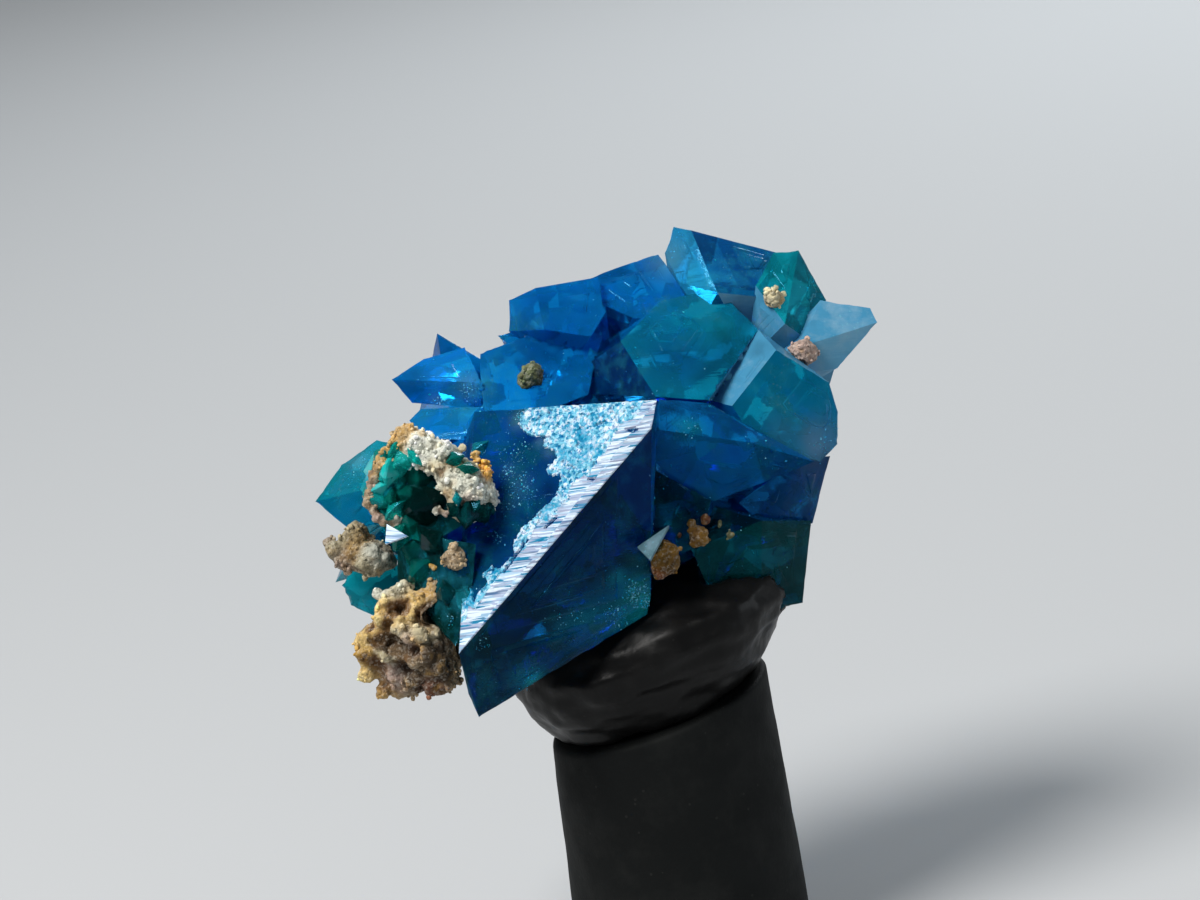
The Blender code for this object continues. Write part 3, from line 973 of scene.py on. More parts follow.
@dataclass(frozen=True)
class FaceLook:
    """What one face looks like. The face is the one that the picture shows at right and up."""

    right: float
    up: float
    shade: Shade
    clarity: Clarity = CLOUDY
    line_angle: float = 5.0
    line_height: float = 0.006
    etched: bool = False


@dataclass(frozen=True)
class Glow:
    """A soft patch of another colour in the crystals, where the picture shows right and up; one paints a
    glint and a few paint a reflection.
    """

    right: float
    up: float
    radius: float
    shade: Shade
    strength: float = 0.8


@dataclass(frozen=True)
class EtchedLayer:
    """The thin pale growth layer on the front crystal, whose paleness also paints the sheen of the light:
    lines along its sharp edge, and grains elsewhere.
    """

    thickness: float = 0.030
    ragged: float = 0.05
    ragged_size: float = 0.22
    grain_size: float = 0.068
    grain_slope: float = 0.35
    grain_lift: Pair = (-0.008, 0.012)
    band_width: float = 0.30
    waver: float = 0.10
    waver_size: float = 0.25
    line_height: float = 0.012
    line_gaps: Pair = (0.022, 0.085)
    fibre: Pair = (0.18, 1.5)
    fibre_share: float = 0.45
    edge_start: Pair = (-2.40, -3.48)
    edge_end: Pair = (0.74, 0.30)
    pits: tuple[Triple, ...] = (
        (0.55, 0.34, 0.06),
        (-0.12, -0.51, 0.04),
        (-1.55, -1.20, 0.05),
    )
    pit_stretch: Pair = (0.5, 1.6)
    cracks: tuple[tuple[float, float, float, float], ...] = (
        (-0.73, -1.16, -0.92, -1.33),
        (-1.22, -1.53, -1.62, -2.08),
    )
    crack_width: float = 0.020
    outline: tuple[Pair, ...] = (
        (-2.55, -3.60), (-2.44, -2.67), (-2.46, -2.48), (-2.39, -2.58), (-2.32, -2.26), (-2.20, -2.31),
        (-2.11, -2.62), (-2.03, -2.36), (-1.94, -2.24), (-2.00, -2.10), (-1.84, -1.98), (-1.70, -2.05),
        (-1.48, -1.80), (-1.46, -1.62), (-1.34, -1.36), (-1.06, -1.11), (-0.79, -0.82), (-0.64, -0.56),
        (-0.66, -0.41), (-0.90, -0.41), (-0.87, -0.25), (-0.69, -0.14), (-0.74, 0.01), (-0.95, 0.04),
        (-0.93, 0.17), (-0.82, 0.22), (-1.06, 0.23), (-1.26, 0.32), (-1.38, 0.45), (-1.34, 0.61),
        (-1.06, 0.80), (-0.09, 1.20), (1.30, 1.20), (1.30, 0.00), (-2.00, -4.00),
    )

    def cover(self, picture: Array) -> Array:
        """Where the layer lies.

        Args:
            picture: the points, as the picture shows them.

        Returns:
            Whether the layer covers each point.
        """
        drift = np.array([ragged_shift(p, self.ragged_size, self.ragged) for p in picture])
        found = inside_outline(picture[:, :2] + drift, np.array(self.outline))
        for right, up, size in self.pits:
            offset = (picture[:, :2] + 0.5 * drift - (right, up)) * self.pit_stretch
            found &= np.linalg.norm(offset, axis=1) > size
        for crack in self.cracks:
            found &= from_outline(picture[:, :2], np.reshape(crack, (2, 2))) > self.crack_width
        return found

    def from_edge(self, picture: Array) -> Array:
        """How far each point is from the sharp edge, as the picture shows it.

        Args:
            picture: the points, as the picture shows them.

        Returns:
            The distances, in millimetres.
        """
        start, end = np.array(self.edge_start), np.array(self.edge_end)
        along = (end - start) / np.linalg.norm(end - start)
        return (picture[:, :2] - start) @ np.array((-along[1], along[0]))


@dataclass
class FlatFace:
    """One flat face of the crystals as it is meshed: its own flat coordinates, in millimetres."""

    look: FaceLook
    number: int
    corner: Array
    along: Array
    across: Array
    normal: Array

    @classmethod
    def of(cls, face: BMFace, look: FaceLook) -> "FlatFace":
        """Lays coordinates on a face, the first of them along its growth lines.

        Args:
            face: the face.
            look: its look.

        Returns:
            The flat face.
        """
        edge_on, too_short = 0.15, 0.2
        right, up, back = VIEW.axes()
        normal = face.normal
        angle = math.radians(look.line_angle)
        seen = math.cos(angle) * right + math.sin(angle) * up
        toward = back if abs(back.dot(normal)) > edge_on else normal
        along = seen - seen.dot(normal) / toward.dot(normal) * toward
        if along.length < too_short:
            along = up - up.dot(normal) * normal
        along.normalize()
        vectors = (face.verts[0].co, along, normal.cross(along), normal)
        return cls(look, face.index, *(np.array(vector) for vector in vectors))

    def flatten(self, points: Array) -> Array:
        """The points' flat coordinates."""
        return np.stack([(points - self.corner) @ self.along, (points - self.corner) @ self.across], 1)

    def unflatten(self, flat: Array) -> Array:
        """The places of flat coordinates."""
        return self.corner + flat[:, :1] * self.along + flat[:, 1:] * self.across


@dataclass(frozen=True)
class Plate:
    """A low growth plate on a face: its outline, which runs parallel to the face's sides, and its height."""

    outline: Array
    height: float
    slope_width: float
    slope_share: float = 0.6

    def rise(self, flat: Array) -> Array:
        """How far the plate lifts each point."""
        depth = np.where(inside_outline(flat, self.outline), from_outline(flat, self.outline), 0.0)
        return self.height * np.clip(depth / (self.slope_share * self.slope_width), 0.0, 1.0)

    def loops(self) -> list[Array]:
        """The outlines of the plate's foot and of its top.

        Returns:
            The two outlines.
        """
        middle = self.outline.mean(0)
        reach = np.linalg.norm(self.outline - middle, axis=1, keepdims=True)
        return [self.outline, middle + (self.outline - middle) * (1.0 - self.slope_width / reach)]


def flat_crystals(node: Object, flat_angle: float = 1.5, weld: float = 1e-4) -> BMesh:
    """The crystals' flat faces.

    Args:
        node: the crystals' CAD node.
        flat_angle: faces that meet at less than this, in degrees, are one.
        weld: points nearer than this, in millimetres, are one.

    Returns:
        The mesh, in millimetres, with each flat face whole.
    """
    bm = in_millimetres(node)
    bmesh.ops.remove_doubles(bm, verts=bm.verts, dist=weld)
    bmesh.ops.dissolve_limit(bm, angle_limit=math.radians(flat_angle), verts=bm.verts, edges=bm.edges)
    bm.faces.index_update()
    bm.faces.ensure_lookup_table()
    return bm


class FaceLooks:
    """The looks of the crystals' faces, as the picture shows them."""

    looks: tuple[FaceLook, ...] = each(
        FaceLook,
        (-1.70, -0.85, DEEP, CLEAR, 8.0, 0.0025, True), (0.43, 0.00, DEEP, CLEAR, 8.0, 0.004, True),
        (-0.17, -1.87, ABYSS, CLEAR), (1.70, 1.87, TEAL), (0.34, 1.28, NAVY), (-1.36, 1.36, BLUE),
        (-2.55, 1.36, AZURE), (-2.55, 0.90, AZURE), (-1.45, 2.38, BLUE), (-0.77, 2.55, BLUE),
        (0.68, 2.89, BLUE), (1.36, 3.23, SKY), (2.20, 3.15, DEEP), (3.40, 2.98, SEA),
        # The pale milky looks of the right tip and the wedge are partly their milky colour and partly a
        # painted reflection of the bright surroundings.
        (4.26, 2.21, MIST, MILKY), (4.10, 1.70, PALE, MILKY), (2.47, 1.36, MIST, MILKY, 57.0, 0.020),
        (3.40, 0.68, TEAL), (2.04, 0.54, BLUE, CLEAR), (2.04, -0.17, BLUE, CLEAR),
        (3.20, -0.68, DEEP, CLEAR), (2.70, -1.87, PINE, CLEAR), (1.53, -1.10, INK, CLEAR),
        (-3.90, -0.50, SEA), (-4.30, -1.00, TEAL), (-3.90, -2.40, SEA), (-3.40, -0.90, EMERALD),
        (-2.70, -1.30, BOTTLE), (-2.80, -2.00, BOTTLE),
    )
    glows: tuple[Glow, ...] = each(
        Glow,
        (-1.24, -3.86, 0.30, SEA, 0.7), (0.52, -2.45, 0.38, SEA, 0.9), (0.10, -2.35, 0.22, SEA, 0.5),
        (0.66, -2.38, 0.19, CYAN, 1.0), (0.72, -2.58, 0.17, CYAN, 1.0), (0.64, -2.82, 0.20, CYAN, 1.0),
        (0.25, -2.20, 0.14, CYAN, 0.6), (0.30, -2.82, 0.26, CYAN, 0.7), (-0.20, -2.90, 0.30, SEA, 0.7),
        (-1.15, -3.90, 0.14, CYAN, 0.7), (0.10, -2.75, 0.50, TEAL, 0.8), (-0.60, -3.20, 0.40, TEAL, 0.6),
        (-1.87, -3.28, 0.40, BOTTLE, 0.7), (-0.50, -2.20, 0.70, NAVY, 0.5), (1.53, 0.40, 0.22, SEA, 0.8),
        # The glacier patch at -2.77, 0.82 is a painted glint.
        (-2.25, 1.05, 0.20, GLACIER, 0.9), (-2.77, 0.82, 0.14, GLACIER, 0.9), (-2.20, 0.60, 0.40, SKY, 0.7),
        (-2.72, 1.23, 0.35, SKY, 0.7), (-1.00, 1.90, 0.45, DEEP, 0.8), (2.30, 3.20, 0.40, NAVY, 0.7),
        (1.14, 3.27, 0.35, GLACIER, 0.6), (1.20, 1.50, 0.50, DEEP, 0.5), (2.00, 2.10, 0.40, SEA, 0.5),
        # The lilac and mist patches on the wedge are partly its milky colour and partly a painted reflection.
        (3.75, 0.10, 0.30, LILAC, 0.7), (3.85, 0.20, 0.35, MIST, 0.8), (3.10, 0.30, 0.30, MIST, 0.5),
        (1.70, -0.30, 0.45, BLUE, 0.5), (-4.10, -0.20, 0.20, GLACIER, 0.6),
        (-3.55, -1.30, 0.30, EMERALD, 0.7), (-1.75, 0.25, 0.40, BLUE, 0.5), (-1.90, -1.50, 0.45, INK, 0.7),
        (-2.10, -1.95, 0.30, INK, 0.5), (-1.15, 0.05, 0.30, NAVY, 0.7), (-0.88, -0.70, 0.17, NAVY, 0.8),
        (-1.06, -0.95, 0.17, NAVY, 0.8), (-1.22, -1.16, 0.14, NAVY, 0.7), (-1.36, -0.62, 0.22, MIST, 0.45),
        (-1.58, -0.92, 0.20, MIST, 0.30), (-1.54, -0.36, 0.16, MIST, 0.45),
        (-1.36, 0.52, 0.17, GLACIER, 0.7), (-1.02, 0.12, 0.10, GLACIER, 0.6),
        (-0.86, -0.02, 0.12, GLACIER, 0.5),
    )

    def __init__(self, bm: BMesh) -> None:
        """Finds where the looks and the glows lie.

        Args:
            bm: the crystals' flat faces, in millimetres.
        """
        tree = BVHTree.FromBMesh(bm)
        self.named: list[tuple[Vector, Vector, FaceLook]] = []
        self.own: dict[int, FaceLook] = {}
        self.spots: list[tuple[Array, Glow]] = []
        for look in self.looks:
            place, normal, index, _ = tree.ray_cast(*VIEW.ray(look.right, look.up))
            self.own[index] = look
            self.named.append((place, normal, look))
        for glow in self.glows:
            place = tree.ray_cast(*VIEW.ray(glow.right, glow.up))[0]
            if place is not None:
                self.spots.append((np.array(place), glow))

    def near(self, place: Vector, normal: Vector) -> FaceLook:
        """The look of the named face that is nearest and faces the same way.

        Args:
            place: a point on the crystals.
            normal: the outward direction there.

        Returns:
            The look, without the etched layer.
        """
        turned = 1.6
        best = min(self.named, key=lambda n: (n[0] - place).length * (turned - n[1].dot(normal)))[2]
        if best.etched:
            best = FaceLook(0.0, 0.0, best.shade, best.clarity)
        return best

    def of(self, face: BMFace) -> FaceLook:
        """A face's look."""
        return self.own.get(face.index) or self.near(face.calc_center_median(), face.normal)

    def tint(self, places: Array, shade: Shade) -> Array:
        """The colours at places on a face, with the glows blended in.

        Args:
            places: rows of x, y and z.
            shade: the face's own colour.

        Returns:
            A colour for each place.
        """
        far = 2.5
        colours = np.tile(np.array(shade.value), (len(places), 1))
        for middle, glow in self.spots:
            away = np.linalg.norm(places - middle, axis=1) / glow.radius
            if away.min() <= far:
                share = (glow.strength * np.exp(-(away**2)))[:, None]
                colours = (1.0 - share) * colours + share * np.array(glow.shade.value)
        return colours


@dataclass
class CrystalSkin:
    """The skin of the crystals: the CAD faces, meshed finely and raised into growth lines and plates."""

    node: Object
    materials: list[Material]
    edge_step: float = 0.07
    along_step: float = 0.13
    across_step: float = 0.055
    etched_step: float = 0.020
    edge_gap: float = 0.45
    line_gaps: Pair = (0.06, 0.22)
    fade_scale: Pair = (0.8, 2.5)
    crisp_angle: float = 18.0
    wear: float = 0.035
    least_wear: float = 0.12
    plate_area: float = 0.30
    plate_height: float = 0.014
    plate_slope: float = 0.028
    plate_count: int = 4
    plate_share: Pair = (0.50, 0.78)
    plate_shrink: Pair = (0.60, 0.85)
    plate_drift: float = 0.22
    plate_step: float = 0.07
    corner_bend: float = 0.05
    layer: EtchedLayer = EtchedLayer()
    stock: MeshStock = field(default_factory=MeshStock)
    rng: np.random.Generator = field(default_factory=lambda: np.random.default_rng(7))

    def build(self) -> Object:
        """Makes the skin.

        Returns:
            The new piece.
        """
        bm = flat_crystals(self.node)
        looks = FaceLooks(bm)
        self.divide_edges(bm)
        self.stock.add_points(np.array([v.co for v in bm.verts]))
        shift = np.zeros((len(bm.verts), 3))
        for face in bm.faces:
            self.fill(face, looks, shift)
        self.stock.points[0] += shift
        bm.free()
        mesh = self.stock.mesh("liroconite", self.materials, self.crisp_angle)
        return place_piece("liroconite", mesh, "liroconite", self.node.name)

    def divide_edges(self, bm: BMesh) -> None:
        """Divides every edge into short ones, which the two faces beside it share.

        Args:
            bm: the flat faces, in millimetres.
        """
        for edge in list(bm.edges):
            parts = max(1, round(edge.calc_length() / self.edge_step))
            near, end = edge.verts
            for left in range(parts, 1, -1):
                _, near = bmesh.utils.edge_split(edge, near, 1.0 / left)
                edge = next(e for e in near.link_edges if e.other_vert(near) == end)
        bm.verts.index_update()
        bm.faces.ensure_lookup_table()

    def fill(self, face: BMFace, looks: FaceLooks, shift: Array) -> None:
        """Fills a flat face with small triangles along its growth lines, and raises them.

        Args:
            face: the face, with divided edges.
            looks: the faces' looks.
            shift: how far each of the mesh's own points moves, which the face adds to.
        """
        flat_face = FlatFace.of(face, looks.of(face))
        look, normal = flat_face.look, face.normal
        ring = flat_face.flatten(np.array([v.co for v in face.verts]))
        plates = [] if look.etched else self.plates(ring)
        flat, origin, triangles = self.tiled(ring, plates, look)
        old, base = origin >= 0, flat_face.unflatten(flat)
        heights, clarity = self.relief(flat, base, flat_face)
        for plate in plates:
            heights += plate.rise(flat)
        shared = np.array([sum(max(0.0, normal.dot(f.normal)) for f in v.link_faces) for v in face.verts])
        shared = shared[origin[old]]
        heights[old] -= self.edge_wear(base[old]) * np.clip(2.0 - shared, 0.1, 1.0)
        moved = heights[:, None] * flat_face.normal
        numbers = np.array([v.index for v in face.verts])[origin]
        np.add.at(shift, numbers[old], moved[old] / shared[:, None])
        first = self.stock.add_points((base + moved)[~old])
        numbers[~old] = first + np.arange((~old).sum())
        tints = looks.tint(base, look.shade)
        # The etched and ridged layer gets pale tints, partly frosting and partly painted sheen of the light.
        tints[clarity >= ETCHED.value] = GLACIER.value
        tints[clarity == RIDGED.value] = HAZE.value
        finishes = clarity[triangles].max(1)
        self.stock.add_triangles(numbers[triangles], flat[triangles], tints[triangles], finishes)

    def tiled(self, ring: Array, plates: list[Plate], look: FaceLook) -> Arrays:
        """Divides a face into small triangles.

        Args:
            ring: the face's outline, in its flat coordinates.
            plates: its growth plates.
            look: its look.

        Returns:
            The points' flat coordinates, the number that each has in the outline or -1, and the triangles.
        """
        nearest = 1e-5
        points, sides = [ring, self.inner_points(ring, look)], []
        for loop in (loop for plate in plates for loop in plate.loops()):
            first = sum(map(len, points))
            points.append(loop)
            sides.extend((first + k, first + (k + 1) % len(loop)) for k in range(len(loop)))
        corners = [Vector(p) for p in np.concatenate(points)]
        filled = geometry.delaunay_2d_cdt(corners, sides, [list(range(len(ring)))], 1, nearest)
        flat = np.array([tuple(p) for p in filled[0]]).reshape(-1, 2)
        origin = [min((i for i in made if i < len(ring)), default=-1) for made in filled[3]]
        return flat, np.array(origin), np.array(filled[2])

    def edge_wear(self, places: Array) -> Array:
        """How far the crystals' edges are worn back.

        Args:
            places: points on the edges.

        Returns:
            The wear at each, in millimetres.
        """
        broad = np.clip(noise_at(places, size=0.5, octaves=2, seed=3.0) - 0.05, 0.0, 1.0)
        chips = np.clip(noise_at(places, size=0.12, seed=8.0) - 0.35, 0.0, 1.0)
        return self.wear * (self.least_wear + broad + chips)

    def plates(self, ring: Array) -> list[Plate]:
        """Growth plates for a face.

        Args:
            ring: the face's outline, in its flat coordinates.

        Returns:
            The plates, none on a small face.
        """
        rng, slope = self.rng, self.plate_slope
        turned = np.roll(ring, -1, 0)
        area = 0.5 * abs(np.sum(ring[:, 0] * turned[:, 1] - turned[:, 0] * ring[:, 1]))
        before, after = ring - np.roll(ring, 1, 0), turned - ring
        bend = before[:, 0] * after[:, 1] - before[:, 1] * after[:, 0]
        bend /= np.linalg.norm(before, axis=1) * np.linalg.norm(after, axis=1)
        corners = ring[np.abs(bend) > self.corner_bend]
        if area < self.plate_area or len(corners) < 3:
            return []
        middle = corners.mean(0)
        reach = np.sqrt(area)
        centre = middle + rng.uniform(-self.plate_drift, self.plate_drift, 2) * reach
        share = rng.uniform(*self.plate_share)
        found = []
        for _ in range(self.plate_count):
            outline = centre + share * (corners - middle)
            height = self.plate_height * rng.uniform(0.3, 1.0)
            if inside_outline(outline, ring).all() and from_outline(outline, ring).min() > 3.0 * slope:
                found.append(Plate(outline, height, slope))
            share *= rng.uniform(*self.plate_shrink)
            centre = centre + rng.uniform(-self.plate_step, self.plate_step, 2) * reach
        return found

    def inner_points(self, ring: Array, look: FaceLook) -> Array:
        """Points inside a face, in rows along its growth lines.

        Args:
            ring: the face's outline, in its flat coordinates.
            look: the face's look.

        Returns:
            The points, which keep off the outline.
        """
        along, across = self.along_step, self.across_step
        if look.etched:
            along = across = self.etched_step
        low, high = ring.min(0), ring.max(0)
        rows = np.arange(low[1] + 0.5 * across, high[1], across)
        columns = np.arange(low[0] + 0.5 * along, high[0], along)
        grid = np.stack(np.meshgrid(columns, rows), -1)
        grid[1::2, :, 0] += 0.5 * along
        grid = grid.reshape(-1, 2)
        return grid[inside_outline(grid, ring) & (from_outline(grid, ring) > self.edge_gap * across)]

    def relief(self, flat: Array, places: Array, face: FlatFace) -> Arrays:
        """How far each point of a face stands proud, and how clear the face is there.

        Args:
            flat: the points' flat coordinates.
            places: where they are, in millimetres.
            face: the face.

        Returns:
            The heights in millimetres, and the numbers of the finishes.
        """
        heights = face.look.line_height * self.growth_lines(flat, face.number, *self.line_gaps)
        clarity = np.full(len(flat), face.look.clarity.value)
        if not face.look.etched:
            return heights, clarity
        layer = self.layer
        picture = VIEW.picture(places)
        cover = layer.cover(picture)
        waver = layer.waver * noise_at(picture, layer.waver_size, 2)
        band = cover & (layer.from_edge(picture) + waver < layer.band_width)
        ridges = layer.line_height * self.growth_lines(flat, face.number, *layer.line_gaps)
        ridges = ridges + layer.fibre_share * self.grains(flat * layer.fibre)
        heights = np.where(cover, layer.thickness + self.grains(flat), heights)
        heights = np.where(band, layer.thickness + ridges, heights)
        clarity = np.where(cover, ETCHED.value, clarity)
        return heights, np.where(band, RIDGED.value, clarity)

    def growth_lines(self, flat: Array, seed: int, narrow: float, wide: float) -> Array:
        """Growth lines that fade in and out.

        Args:
            flat: the points' flat coordinates.
            seed: the face's own number.
            narrow: the least distance between lines.
            wide: the most.

        Returns:
            The heights, from -1 to 1.
        """
        low, high = flat[:, 1].min() - wide, flat[:, 1].max() + wide
        steps = self.rng.uniform(narrow, wide, int((high - low) / narrow) + 2)
        knots = low + np.cumsum(steps)
        ridge = np.interp(flat[:, 1], knots, self.rng.uniform(-1.0, 1.0, len(knots)))
        spots = [Vector((*spot, seed)) for spot in flat * self.fade_scale]
        return ridge * np.array([0.5 + 0.5 * noise.noise(spot) for spot in spots])

    def grains(self, flat: Array) -> Array:
        """The etched layer's small tilted facets.

        Args:
            flat: the points' flat coordinates.

        Returns:
            The heights, in millimetres.
        """
        layer = self.layer
        low, high = flat.min(0), flat.max(0)
        total = int(np.prod(high - low) / layer.grain_size**2)
        seeds = self.rng.uniform(low, high, (total, 2))
        slopes = self.rng.uniform(-layer.grain_slope, layer.grain_slope, (total, 2))
        lifts = self.rng.uniform(*layer.grain_lift, total)
        tree = KDTree(total)
        for k, (u, v) in enumerate(seeds):
            tree.insert((u, v, 0.0), k)
        tree.balance()
        nearest = np.array([tree.find((u, v, 0.0))[1] for u, v in flat])
        return lifts[nearest] + ((flat - seeds[nearest]) * slopes[nearest]).sum(1)


@dataclass(frozen=True)
class SmallCrystal:
    """A small crystal that the picture shows at right and up, half sunk in what it grows on."""

    right: float
    up: float
    size: float
    shade: Shade
    spin: float = 0.0
    clarity: Clarity = CLOUDY


@dataclass(frozen=True)
class Flake:
    """A thin three-cornered crystal plate whose corners the picture shows at right and up."""

    corners: tuple[Pair, ...]
    facing: Triple
    back: float
    shade: Shade
    clarity: Clarity
    thickness: float = 0.05


def solid_arrays(bm: BMesh) -> Arrays:
    """A small solid's points and triangles.

    Args:
        bm: the solid, in triangles. It is freed.

    Returns:
        The two arrays.
    """
    bm.verts.index_update()
    points = np.array([v.co for v in bm.verts])
    triangles = np.array([[v.index for v in face.verts] for face in bm.faces])
    bm.free()
    return points, triangles


@dataclass
class SmallCrystals:
    """The small crystals: the green nest and others that the picture shows, and a scatter in the creases."""

    node: Object
    front: Surface
    wax: Surface
    materials: list[Material]
    habit: tuple[Triple, ...] = ((0.96, 0.07, 0.0), (0.12, 0.70, 0.0), (0.42, 0.07, 0.52))
    unevenness: float = 0.05
    nest: tuple[SmallCrystal, ...] = each(
        SmallCrystal,
        (-3.35, -0.18, 0.30, JADE, 20.0), (-3.60, -0.36, 0.28, JADE, 70.0, MILKY),
        (-3.45, -0.55, 0.26, JADE, 110.0), (-3.72, -0.62, 0.24, JADE, 15.0, MILKY),
        (-3.78, -0.85, 0.28, JADE, 150.0), (-3.55, -0.80, 0.22, EMERALD, 75.0),
        (-3.48, -1.02, 0.26, JADE, 35.0), (-3.66, -1.08, 0.20, EMERALD, 120.0),
        (-3.28, -0.76, 0.24, EMERALD, 160.0), (-3.22, -1.20, 0.26, EMERALD, 95.0),
        (-3.15, -0.12, 0.20, JADE, 130.0), (-3.52, -1.62, 0.24, SEA, 25.0),
        (-3.18, -1.72, 0.26, EMERALD, 70.0), (-3.08, -0.40, 0.42, EMERALD, 80.0, CLEAR),
        (-2.98, -0.95, 0.46, BOTTLE, 15.0, CLEAR), (-3.38, -1.42, 0.32, EMERALD, 60.0),
        (-2.86, -1.55, 0.38, BOTTLE, 130.0, CLEAR), (-3.70, -0.14, 0.28, JADE, 45.0),
        (-3.80, -0.34, 0.30, JADE, 100.0, MILKY), (-3.83, -0.54, 0.28, SEA, 30.0, MILKY),
        (-3.85, -0.74, 0.28, JADE, 80.0), (-3.50, 0.00, 0.24, JADE, 60.0), (-3.62, -0.46, 0.20, JADE, 5.0),
        (-3.60, -0.68, 0.18, SEA, 50.0), (-3.42, -0.34, 0.18, JADE, 85.0),
        (-2.02, -1.06, 0.24, BOTTLE, 20.0, CLEAR), (-2.26, -1.10, 0.26, BOTTLE, 75.0, CLEAR),
        (-2.46, -1.02, 0.20, BOTTLE, 140.0, CLEAR), (-1.88, -0.98, 0.16, BOTTLE, 110.0, CLEAR),
        (-2.12, -0.95, 0.18, PINE, 50.0, CLEAR), (-2.47, -0.15, 0.17, EMERALD, 10.0),
        (-2.25, -0.31, 0.20, EMERALD, 160.0), (-2.43, -0.84, 0.14, SEA, 90.0),
        (-2.05, 0.02, 0.22, SEA, 40.0), (-3.05, -2.05, 0.30, EMERALD, 40.0, CLEAR),
        (-2.62, -2.45, 0.26, BOTTLE, 100.0, CLEAR),
    )
    flakes: tuple[Flake, ...] = (
        # The first flake's frost colour and ridged finish paint the reflection of the light on it.
        Flake(((-3.63, -1.26), (-3.28, -1.46), (-3.66, -1.60)), (-0.32, 0.35, -0.88), -2.05, FROST, RIDGED),
        Flake(((1.17, -1.28), (0.63, -1.65), (0.85, -1.87)), (-0.29, 0.62, -0.73), -1.92, SMOKE, MILKY),
    )
    crease_angle: float = 25.0
    crease_count: int = 260
    crease_part: Pair = (0.05, 0.95)
    crease_tilt: float = 0.35
    least: float = 0.06
    spread: float = 0.16
    edge_on: float = 0.1
    front_scale: float = 0.55
    back_scale: float = 1.7
    wax_gap: float = 0.35
    crisp_angle: float = 10.0
    stock: MeshStock = field(default_factory=MeshStock)
    rng: np.random.Generator = field(default_factory=lambda: np.random.default_rng(11))

    def build(self) -> Object:
        """Makes the small crystals.

        Returns:
            The new piece.
        """
        for small in self.nest:
            place, normal = self.front.under(small.right, small.up)
            self.grow(place, (0.5 * normal - 0.5 * VIEW.axes()[2]).normalized(), small)
        for flake in self.flakes:
            self.add_flake(flake)
        self.fill_creases()
        mesh = self.stock.mesh("small_crystals", self.materials, self.crisp_angle)
        return place_piece("small_crystals", mesh, "liroconite")

    def grow(self, place: Vector, axis: Vector, small: SmallCrystal) -> None:
        """Adds one crystal.

        Args:
            place: its middle.
            axis: which way its upper side faces.
            small: its size, turn, colour and clarity.
        """
        rng = self.rng
        stretch = np.array((1.0, rng.uniform(0.8, 1.2), rng.uniform(0.9, 1.4)))
        signs = np.stack(np.meshgrid((-1.0, 1.0), (-1.0, 1.0), (-1.0, 1.0)), -1).reshape(-1, 1, 3)
        corners = np.unique((signs * np.array(self.habit)).reshape(-1, 3) + 0.0, axis=0)
        corners = corners * stretch * small.size
        corners += rng.uniform(-self.unevenness, self.unevenness, corners.shape) * small.size
        turn = axis.to_track_quat("Z", "Y").to_matrix() @ Matrix.Rotation(math.radians(small.spin), 3, "Z")
        hull = bmesh.new()
        for corner in corners @ np.array(turn).T + np.array(place):
            hull.verts.new(corner)
        bmesh.ops.convex_hull(hull, input=hull.verts)
        bmesh.ops.triangulate(hull, faces=hull.faces)
        self.stock.add_solid(*solid_arrays(hull), small.shade.value, small.clarity.value)

    def add_flake(self, flake: Flake) -> None:
        """Adds a flake.

        Args:
            flake: the flake.
        """
        middle = np.mean(flake.corners, axis=0)
        facing = np.array(flake.facing)
        outer = []
        for corner in flake.corners:
            back = flake.back - (facing[:2] @ (np.array(corner) - middle)) / facing[2]
            outer.append(VIEW.seen(*corner, float(back)) / MM)
        outward = Vector(facing @ np.array(VIEW.axes()))
        inner = [corner - flake.thickness * outward for corner in outer]
        points = np.array([tuple(p) for p in outer + inner])
        triangles = [(0, 1, 2), (5, 4, 3)]
        for k in range(3):
            after = (k + 1) % 3
            triangles += [(k, k + 3, after), (after, k + 3, after + 3)]
        triangles = np.array(triangles)
        corners = points[triangles[0]]
        if np.cross(corners[1] - corners[0], corners[2] - corners[0]) @ np.array(outward) < 0.0:
            triangles = triangles[:, ::-1]
        self.stock.add_solid(points, triangles, flake.shade.value, flake.clarity.value)

    def fill_creases(self) -> None:
        """Scatters small crystals in the creases between the large ones."""
        rng, bm = self.rng, flat_crystals(self.node)
        looks = FaceLooks(bm)
        least = -math.radians(self.crease_angle)
        creases = [e for e in bm.edges if e.is_manifold and e.calc_face_angle_signed() < least]
        lengths = np.array([e.calc_length() for e in creases])
        toward_eye = -VIEW.axes()[2]
        for pick in rng.choice(len(creases), self.crease_count, p=lengths / lengths.sum()):
            edge = creases[pick]
            place = edge.verts[0].co.lerp(edge.verts[1].co, rng.uniform(*self.crease_part))
            axis = (edge.link_faces[0].normal + edge.link_faces[1].normal).normalized()
            size = self.least + self.spread * rng.uniform() ** 2.5
            if axis.dot(toward_eye) > self.edge_on:
                size *= self.front_scale
            elif axis.dot(toward_eye) < -self.edge_on:
                size *= self.back_scale
            spin, tilt = rng.uniform(0.0, 360.0), Vector(rng.normal(0.0, self.crease_tilt, 3))
            look = looks.near(place, axis)
            if self.wax.distance(place) > self.wax_gap:
                small = SmallCrystal(0.0, 0.0, size, look.shade, spin, look.clarity)
                self.grow(place, (axis + tilt).normalized(), small)
        bm.free()


@dataclass(frozen=True)
class Cluster:
    """A cluster of flecks on the face that the picture shows at right and up."""

    right: float
    up: float
    reach: float
    count: int


